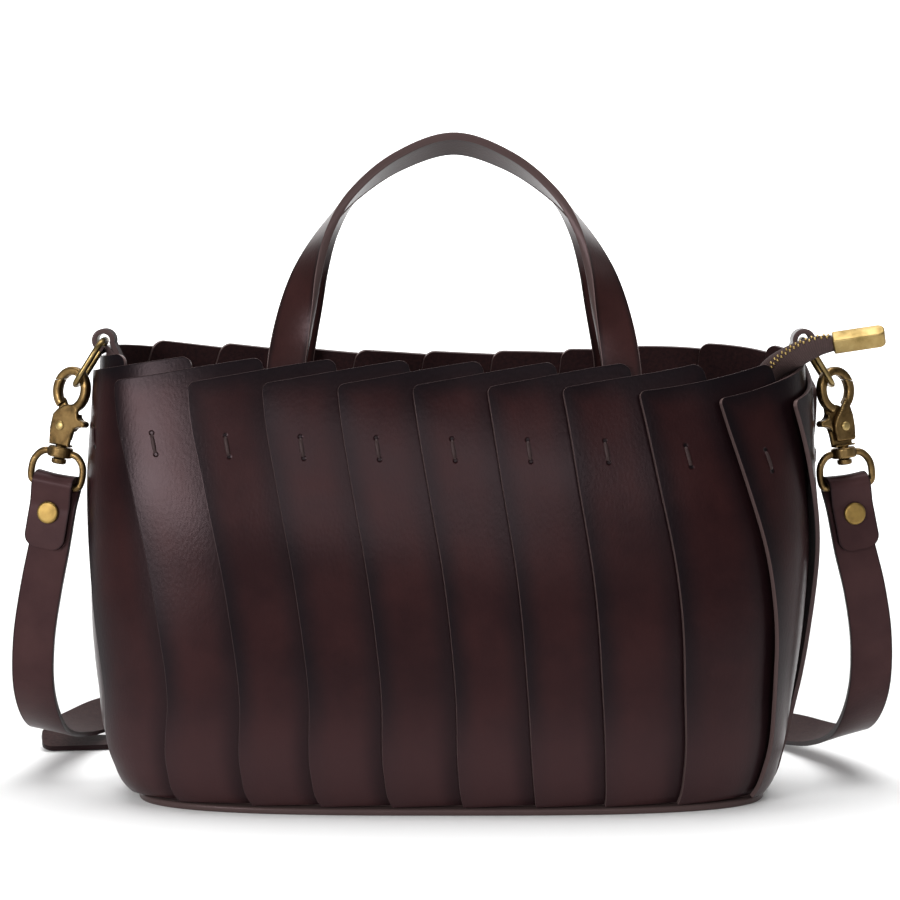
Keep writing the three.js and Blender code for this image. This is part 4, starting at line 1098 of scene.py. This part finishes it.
def eye_casting():
    bm = turned(COLLAR_PROFILE)
    half = [(x * MM, 0, z * MM) for x, z in EYE_HALF]
    centre = path_through(half + [(-x, y, z) for x, y, z in reversed(half)], EYE_STEPS)
    add_part(bm, rolled_tube(centre, (0, 1, 0), EYE_WIRE * MM, EYE_WIRE * MM))
    return melted(bm)


for name, clasp in CLASPS.items():
    place = clasp_place(clasp, clasp["turn"])
    eye_place = clasp_place(clasp, clasp["eye_turn"])
    pin = placed(lying_pin(PIN_HEAD, *PIVOT), place)
    brass_piece(placed(hook_casting(), place), f"cast_hook_{name}", cast_brass, f"{name}_hook")
    brass_piece(placed(gate_casting(), place), f"cast_gate_{name}", cast_brass, f"{name}_gate",
                body=f"{name}_lever")
    brass_piece(pin, f"pivot_pin_{name}", cap_brass, f"{name}_hook_rivet")
    brass_piece(placed(eye_casting(), eye_place), f"cast_eye_{name}", cast_brass, f"{name}_swivel_eye")
print("clasps:", list(CLASPS))

# %% [markdown]
# ## The shoulder strap
# Each half of the strap starts as a flap in front, folds round the bar of its eye, and hangs down
# and lies behind the bag. The two halves are ribbons along one path each. The widths at a flap's
# tip follow a quarter of a circle, which rounds its corners. Smooth grain faces outwards all along,
# and past the fold the side towards the bag is rough. A flat cap rivet goes through each fold.

# %% Strap
STRAP = {"width": 16.8 * MM, "thickness": 2.2 * MM, "tip": 5 * MM, "tip_share": 0.42, "round": 0.5 * MM}
STRAP_STEPS = {"fold": 140, "lying": 260}
FLAP = {"length": 26, "meet": 8, "offset": 1.3, "straight": 19.5, "radius": 3.3, "aside": 1.5}
# Distances of a flap's rows from its tip, in mm, and how many rows turn round the bar.
FLAP_ROWS = np.array((0, 0.4, 0.9, 1.6, 2.6, 3.8, 5, 9, 14))
TURN_ROWS = 9
STRAP_RIVET_BELOW = 11.4
# Past the fold the ribbon's first side is rough. Its materials start at this slot.
FLESH_SLOT = 3
# Closely spaced places near a rounded tip, as distances from it.
TIP_STATIONS = np.array((0, 0.15, 0.4, 0.8, 1.3, 2, 3, 4)) * MM
RIVET_HEAD = [(0, 3.92), (3.3, 3.92), (3.7, 3.89), (4.1, 3.74), (4.38, 3.4), (4.5, 2.95), (1.2, 2.75)]
# Centre line in mm below each fold, with the direction from the left edge to the right one.
STRAP_LEFT = np.array([
    (-166, -0.4, 83, 0.98, -0.12, -0.14), (-169.6, 2.5, 62, 1, -0.1, -0.06), (-171.4, 13, 40, 1, -0.12, 0),
    (-170, 39, 20, 1, -0.22, -0.1), (-165, 78, 12.6, 0.86, -0.4, -0.35),
    (-153, 120, 11.4, 0.56, -0.55, -0.6), (-127, 163, 9.8, 0.5, -0.68, -0.42),
    (-88, 197, 7, 0.42, -0.88, -0.12), (-52, 211, 5.5, 0.12, -0.98, 0), (-19.5, 213, 5.5, 0, -1, 0),
])
STRAP_RIGHT = np.array([
    (165.4, -0.4, 82, 0.98, 0.1, 0.1), (168.6, 2.5, 62, 1, 0.1, 0.06), (169.4, 12, 40, 1, 0.12, 0),
    (166.5, 35, 20, 1, 0.26, 0.12), (159.5, 66, 11, 0.86, 0.42, 0.36), (146.5, 98, 8, 0.6, 0.56, 0.56),
    (121, 143, 5.8, 0.54, 0.74, 0.4), (76, 187, 3.2, 0.42, 0.88, 0.1), (24, 211, 2.5, 0.12, 0.98, 0),
    (-24, 213, 2.9, 0, 1, 0), (-62, 204, 2, -0.42, 0.88, 0), (-100, 163, 1.8, -0.74, 0.66, 0),
    (-130, 118, 1.8, -0.7, 0.7, 0.02), (-152, 98, 2.1, -0.44, 0.9, 0.08), (-180, 91.5, 4.6, -0.1, 0.93, 0.36),
])


def fold_path(place, slant, side):
    """The flap from its tip up, the turn round the eye's bar, and the way down behind it."""
    below = np.append(FLAP["length"] - FLAP_ROWS, FLAP["meet"])
    turn = np.linspace(-math.pi / 2, math.pi / 2, TURN_ROWS)
    shares = eased(np.linspace(0, 1, TURN_ROWS))
    aside = -side * FLAP["aside"]
    rows = [(0, -FLAP["offset"], b) for b in below]
    rows += [(aside * share, FLAP["radius"] * math.sin(a), -FLAP["radius"] * math.cos(a))
             for share, a in zip(shares, turn)]
    rows += [(aside, FLAP["offset"], b) for b in (FLAP["meet"], FLAP["straight"], FLAP["length"])]
    return np.array([place @ (Vector((x + slant * b, y, EYE_BAR_Z - b)) * MM) for x, y, b in rows])


def tip_width(distance):
    """The ribbon's width at a distance from its rounded tip."""
    share = np.minimum(1, distance / STRAP["tip"])
    round_share = np.sqrt(1 - (1 - share) ** 2)
    return STRAP["width"] * (STRAP["tip_share"] + (1 - STRAP["tip_share"]) * round_share)


def strap_sheet(clasp, table, tipped):
    place = clasp_place(clasp, clasp["eye_turn"])
    fold = path_through(fold_path(place, clasp["slant"], clasp["side"]), STRAP_STEPS["fold"])
    across = np.array(place.to_3x3() @ Vector((1, 0, 0)))
    lying = path_through(np.vstack([fold[-1:], table[:, :3] * MM]), STRAP_STEPS["lying"])
    sides = path_through(np.vstack([across[None], table[:, 3:]]), STRAP_STEPS["lying"], even=True)
    centre = np.vstack([fold[:-1], lying])
    side = np.vstack([np.broadcast_to(across, (len(fold) - 1, 3)), sides])
    run = run_along(centre)
    fold_length, length = run[len(fold) - 1], run[-1]
    stations = np.sort(np.concatenate([run[:-1], length - TIP_STATIONS])) if tipped else run
    centre, side = (np.stack([np.interp(stations, run, column) for column in rows.T], axis=-1)
                    for rows in (centre, side))
    width = tip_width(stations)
    if tipped:
        width = np.minimum(width, tip_width(length - stations))
    bm = ribbon(centre, side, width)
    flat = bm.loops.layers.uv["flat"]
    for face in bm.faces:
        if max(loop[flat].uv.y for loop in face.loops) > fold_length:
            face.material_index = FLESH_SLOT
    return bm


strap_leather = leather("strap_leather", "#3c2828", "#312021", "#1e1516", 0.8 * MM, dullness=0.36, shine=0.09)
strap_edge = leather("strap_edge", "#30211f", "#271a1a", "#1c1314", 0.3 * MM, dullness=0.36, shine=0.09)
strap_flesh = flesh_side("strap_flesh", "#3c2a29", "#2a1c1d")
strap_finishes = [strap_leather, strap_leather, strap_edge, strap_flesh, strap_leather, strap_edge]
for name, table in (("left", STRAP_LEFT), ("right", STRAP_RIGHT)):
    clasp = CLASPS[name]
    sheet_piece(strap_sheet(clasp, table, name == "right"), f"long_strap_{name}", strap_finishes,
                f"strap_{name}", STRAP["thickness"], STRAP["round"])
    pin = lying_pin(RIVET_HEAD, clasp["slant"] * STRAP_RIVET_BELOW, EYE_BAR_Z - STRAP_RIVET_BELOW)
    rivet = placed(pin, clasp_place(clasp, clasp["eye_turn"]))
    brass_piece(rivet, f"cap_rivet_{name}", rivet_brass, f"{name}_strap_rivet")
print("places along the strap:", len(STRAP_LEFT), len(STRAP_RIGHT))

# %% [markdown]
# ## The keeper
# A plain brass keeper joins the two halves of the strap behind the bag, where the photograph
# doesn't show it. It is a ribbon closed round a rounded oblong.

# %% Keeper
KEEPER = {"x": -24 * MM, "y": 213 * MM, "length": 12 * MM, "wall": 1.3 * MM, "half_y": 10.25 * MM,
          "half_z": 3.5 * MM, "z": 4.28 * MM, "power": 9, "round": 0.3 * MM, "weld": 0.01 * MM}
KEEPER_STEPS = 72


def keeper_sheet():
    angles = np.linspace(0, 2 * math.pi, KEEPER_STEPS + 1)
    plan = rounded_oblong(angles, KEEPER["half_y"], KEEPER["half_z"], KEEPER["power"])
    x = np.full(len(plan), KEEPER["x"])
    centre = np.stack([x, KEEPER["y"] + plan[:, 0], KEEPER["z"] + plan[:, 1]], axis=-1)
    bm = ribbon(centre, (1, 0, 0), KEEPER["length"], columns=4)
    bmesh.ops.remove_doubles(bm, verts=bm.verts[:], dist=KEEPER["weld"])
    return bm


sheet_piece(keeper_sheet(), "brass_keeper", [wire_brass] * 3, "strap_keeper",
            KEEPER["wall"], KEEPER["round"])
print("keeper length in mm:", round(KEEPER["length"] / MM, 1))

# %% [markdown]
# ## The zip
# The zip stands open, with its two fabric tapes along the inner walls. Past the slider the closed
# tape goes on as a folded tail, which rises over the right end of the rim and ends in a brass cap.
# The tail is a soft tube. Two rows of teeth, small bevelled blocks at the pitch of the zip, start on
# its front and climb to its upper edge.

# %% Zip fabric
FUZZ = {"size": 1 / 900, "bump": 0.5, "depth": 0.2 * MM}


def ribbed_fabric(name, light, dark, pitch):
    """Woven tape: fine ribs across its length, with a little fuzz."""
    material, tree = new_material(name)
    flat = ways(tree, add_node(tree, "ShaderNodeTexCoord").outputs["UV"])
    wave = computed(tree, "SINE", computed(tree, "MULTIPLY", flat["Y"], 2 * math.pi / pitch))
    fuzz = noise(tree, object_place(tree), FUZZ["size"], 3)
    share = computed(tree, "MULTIPLY", ranged(tree, wave, (-1, 1)), fuzz)
    finish_material(tree, {
        "Base Color": mixed(tree, share, dark, light), "Roughness": 0.85,
        "Normal": bumped(tree, share, FUZZ["bump"], FUZZ["depth"])})
    return material


tape_fabric = ribbed_fabric("tape_fabric", "#4a3433", "#30211f", 0.8 * MM)

# %% Zip pieces
TAPE = {"height": 13 * MM, "thickness": 1 * MM, "z": 132, "clear": 0.95, "meet_y": -8, "apart": 2.2,
        "round": 0.2 * MM}
TAPE_STEPS = 90
# Columns: x and rise in mm, and how far the tape lies against the wall.
TAPE_PATH = [(-112, 0, 1), (-60, 0, 1), (0, 0, 1), (55, 2, 1), (86, 9, 0.75), (104, 20, 0.25), (110.8, 24, 0)]
SLIDER = {"x": 117.4, "z": 158, "size": (9, 7, 8), "tilt": 55, "round": 1.2}
# Columns: centre line, then width and height of the folded section, in mm.
TAIL = np.array([
    (121, -8.4, 163.6, 5, 8), (126.4, -11.6, 171.4, 6.2, 10.6), (134.5, -16, 176.9, 6.4, 10.8),
    (142.4, -18.6, 180.7, 5.8, 9), (148.6, -18.9, 182, 5.2, 6.8),
])
TAIL_ROLL = math.radians(36)
TAIL_STEPS = 110
TAIL_SIDES = 24
TAIL_POWER = 2.3
TAIL_END = 0.42 * MM
TOOTH = {"size": (1.15, 0.95, 0.85), "pitch": 1.9, "apart": 0.62, "first": 0.16, "turn": math.radians(90),
         "climb": 1.5, "proud": 0.3, "round": 0.28, "end": 0.8}
CAP = {"length": 20.5, "height": 6.8, "width": 6.6, "tilt": 11, "gap": 0.5, "nose": 2.7, "round": 0.75,
       "sharp": math.radians(40)}


def tape_sheet(side):
    rows = []
    for x, rise, reach in TAPE_PATH:
        z = TAPE["z"] + rise
        depth = wall_depth(x * MM, z * MM + TAPE["height"] / 2) / MM
        seat = side * (depth - TAPE["clear"] - TAPE["thickness"] / 2 / MM)
        start = TAPE["meet_y"] + side * TAPE["apart"]
        rows.append((x * MM, (start + (seat - start) * reach) * MM, z * MM))
    return ribbon(path_through(rows, TAPE_STEPS), (0, 0, 1), TAPE["height"], columns=6)


def plain_block(size):
    bm = bmesh.new()
    bmesh.ops.create_cube(bm, size=1)
    bmesh.ops.scale(bm, verts=bm.verts[:], vec=Vector(size) * MM)
    return bm


def bevelled_block(size, rounding, segments=2):
    bm = plain_block(size)
    round_edges(bm, bm.edges[:], rounding * MM, segments)
    return bm


def cap_block():
    """A block with a round nose at its far end and softened edges."""
    bm = plain_block((CAP["length"], CAP["width"], CAP["height"]))
    nose = [e for e in bm.edges if all(v.co.x > 0 for v in e.verts) and e.verts[0].co.y == e.verts[1].co.y]
    round_edges(bm, nose, CAP["nose"] * MM, 6)
    sharp = [e for e in bm.edges if e.calc_face_angle() > CAP["sharp"]]
    round_edges(bm, sharp, CAP["round"] * MM, 3)
    return bm


def zip_teeth(centre, tangent, side, up, size):
    """Two rows of teeth, half a pitch apart. They start on the tail's front and climb to its upper edge."""
    run = run_along(centre)
    turn = TOOTH["turn"] * (1 - run / run[-1])[:, None] ** TOOTH["climb"]
    upward, sideways = np.cos(turn), np.sin(turn)
    out = up * upward - side * sideways
    seat = centre + up * upward * size[:, 1:] / 2 - side * sideways * size[:, :1] / 2
    seat = seat + out * TOOTH["proud"] * MM
    side = side * upward + up * sideways
    pitch = TOOTH["pitch"] * MM
    bm = bmesh.new()
    for row in (-1, 1):
        start = TOOTH["first"] * run[-1] + (row + 1) / 4 * pitch
        for at in np.arange(start, run[-1] - TOOTH["end"] * MM, pitch):
            step = int(np.searchsorted(run, at))
            origin = seat[step] + side[step] * row * TOOTH["apart"] * MM
            stance = Matrix([*zip(side[step], out[step], tangent[step], origin), (0, 0, 0, 1)])
            add_part(bm, placed(bevelled_block(TOOTH["size"], TOOTH["round"]), stance))
    return bm


for name, side in (("front", -1), ("back", 1)):
    sheet_piece(tape_sheet(side), f"woven_tape_{name}", [tape_fabric] * 3,
                f"zip_tape_{name}", TAPE["thickness"], TAPE["round"])
slider_place = Matrix.Translation((SLIDER["x"] * MM, TAPE["meet_y"] * MM, SLIDER["z"] * MM))
slider_place = slider_place @ Matrix.Rotation(-math.radians(SLIDER["tilt"]), 4, "Y")
slider = placed(bevelled_block(SLIDER["size"], SLIDER["round"], 4), slider_place)
brass_piece(slider, "brass_slider", cast_brass, "zip_slider")

tail_centre = path_through(TAIL[:, :3] * MM, TAIL_STEPS)
tail_size = path_through(TAIL[:, 2:] * MM, TAIL_STEPS)[:, 1:]
tail_tangent = directions(tail_centre)
roll = np.array((0, math.cos(TAIL_ROLL), math.sin(TAIL_ROLL)))
tail_side = unit(roll - tail_tangent * (tail_tangent @ roll)[:, None])
tail_up = np.cross(tail_tangent, tail_side)
tube_centre = tail_centre.copy()
tube_centre[-1] += tail_tangent[-1] * TAIL_END
tail = rolled_tube(tube_centre, tail_up, tail_size[:, 0] / 2, tail_size[:, 1] / 2, sides=TAIL_SIDES,
                   power=TAIL_POWER)
make_piece(tail, "folded_tail", [tape_fabric], ["zip_tail"])
teeth = zip_teeth(tail_centre, tail_tangent, tail_side, tail_up, tail_size)
brass_piece(teeth, "tail_teeth", cap_brass, "zip_chain")

cap_place = Matrix.Translation(tail_centre[-1]) @ Matrix.Rotation(TAIL_ROLL, 4, "X")
cap_place = cap_place @ Matrix.Rotation(-math.radians(CAP["tilt"]), 4, "Y")
cap_place = cap_place @ Matrix.Translation(((CAP["gap"] + CAP["length"] / 2) * MM, 0, 0))
brass_piece(placed(cap_block(), cap_place), "brass_cap", cap_brass, "zip_cap")
print("tail length in mm:", round(float(run_along(tail_centre)[-1] / MM), 1))

# %% [markdown]
# ## The stitches
# One short thong of hide in the upper left of each panel holds it to the panel below. It comes out
# of one hole and goes into another under it. Each is a narrow, flat tube laid on the panel, with
# its ends dipped into the holes. All of them are one piece.

# %% Stitches
THONG = {"half_width": 0.75 * MM, "half_height": 0.4 * MM, "stand": 0.35 * MM, "dip": 0.9 * MM,
         "bend": 6, "taper": 0.15}
THONG_STEPS = 24


def thong(number):
    share = np.linspace(-1, 1, THONG_STEPS)
    across = np.full(THONG_STEPS, STITCH["from_left"] / PANEL_WIDTH)
    below_top = STITCH["below_top"] + share * STITCH["half"]
    points, normals, _, _ = panel_surface(number, across, below_top=below_top)
    sunk = (THONG["stand"] + THONG["dip"]) * np.abs(share) ** THONG["bend"]
    rise = PANEL_THICKNESS / 2 + THONG["stand"] - sunk
    half_width = THONG["half_width"] * (1 - THONG["taper"] * np.abs(share))
    return rolled_tube(points + normals * rise[:, None], normals, half_width, THONG["half_height"], sides=12)


stitches = bmesh.new()
for number in range(1, PANEL_COUNT + 1):
    add_part(stitches, thong(number))
thong_leather = leather("thong_leather", "#4c3a39", "#3f302f", "#2e2524", 0.1 * MM, dullness=0.45)
make_piece(stitches, "panel_stitches", [thong_leather])
print("stitches:", PANEL_COUNT)
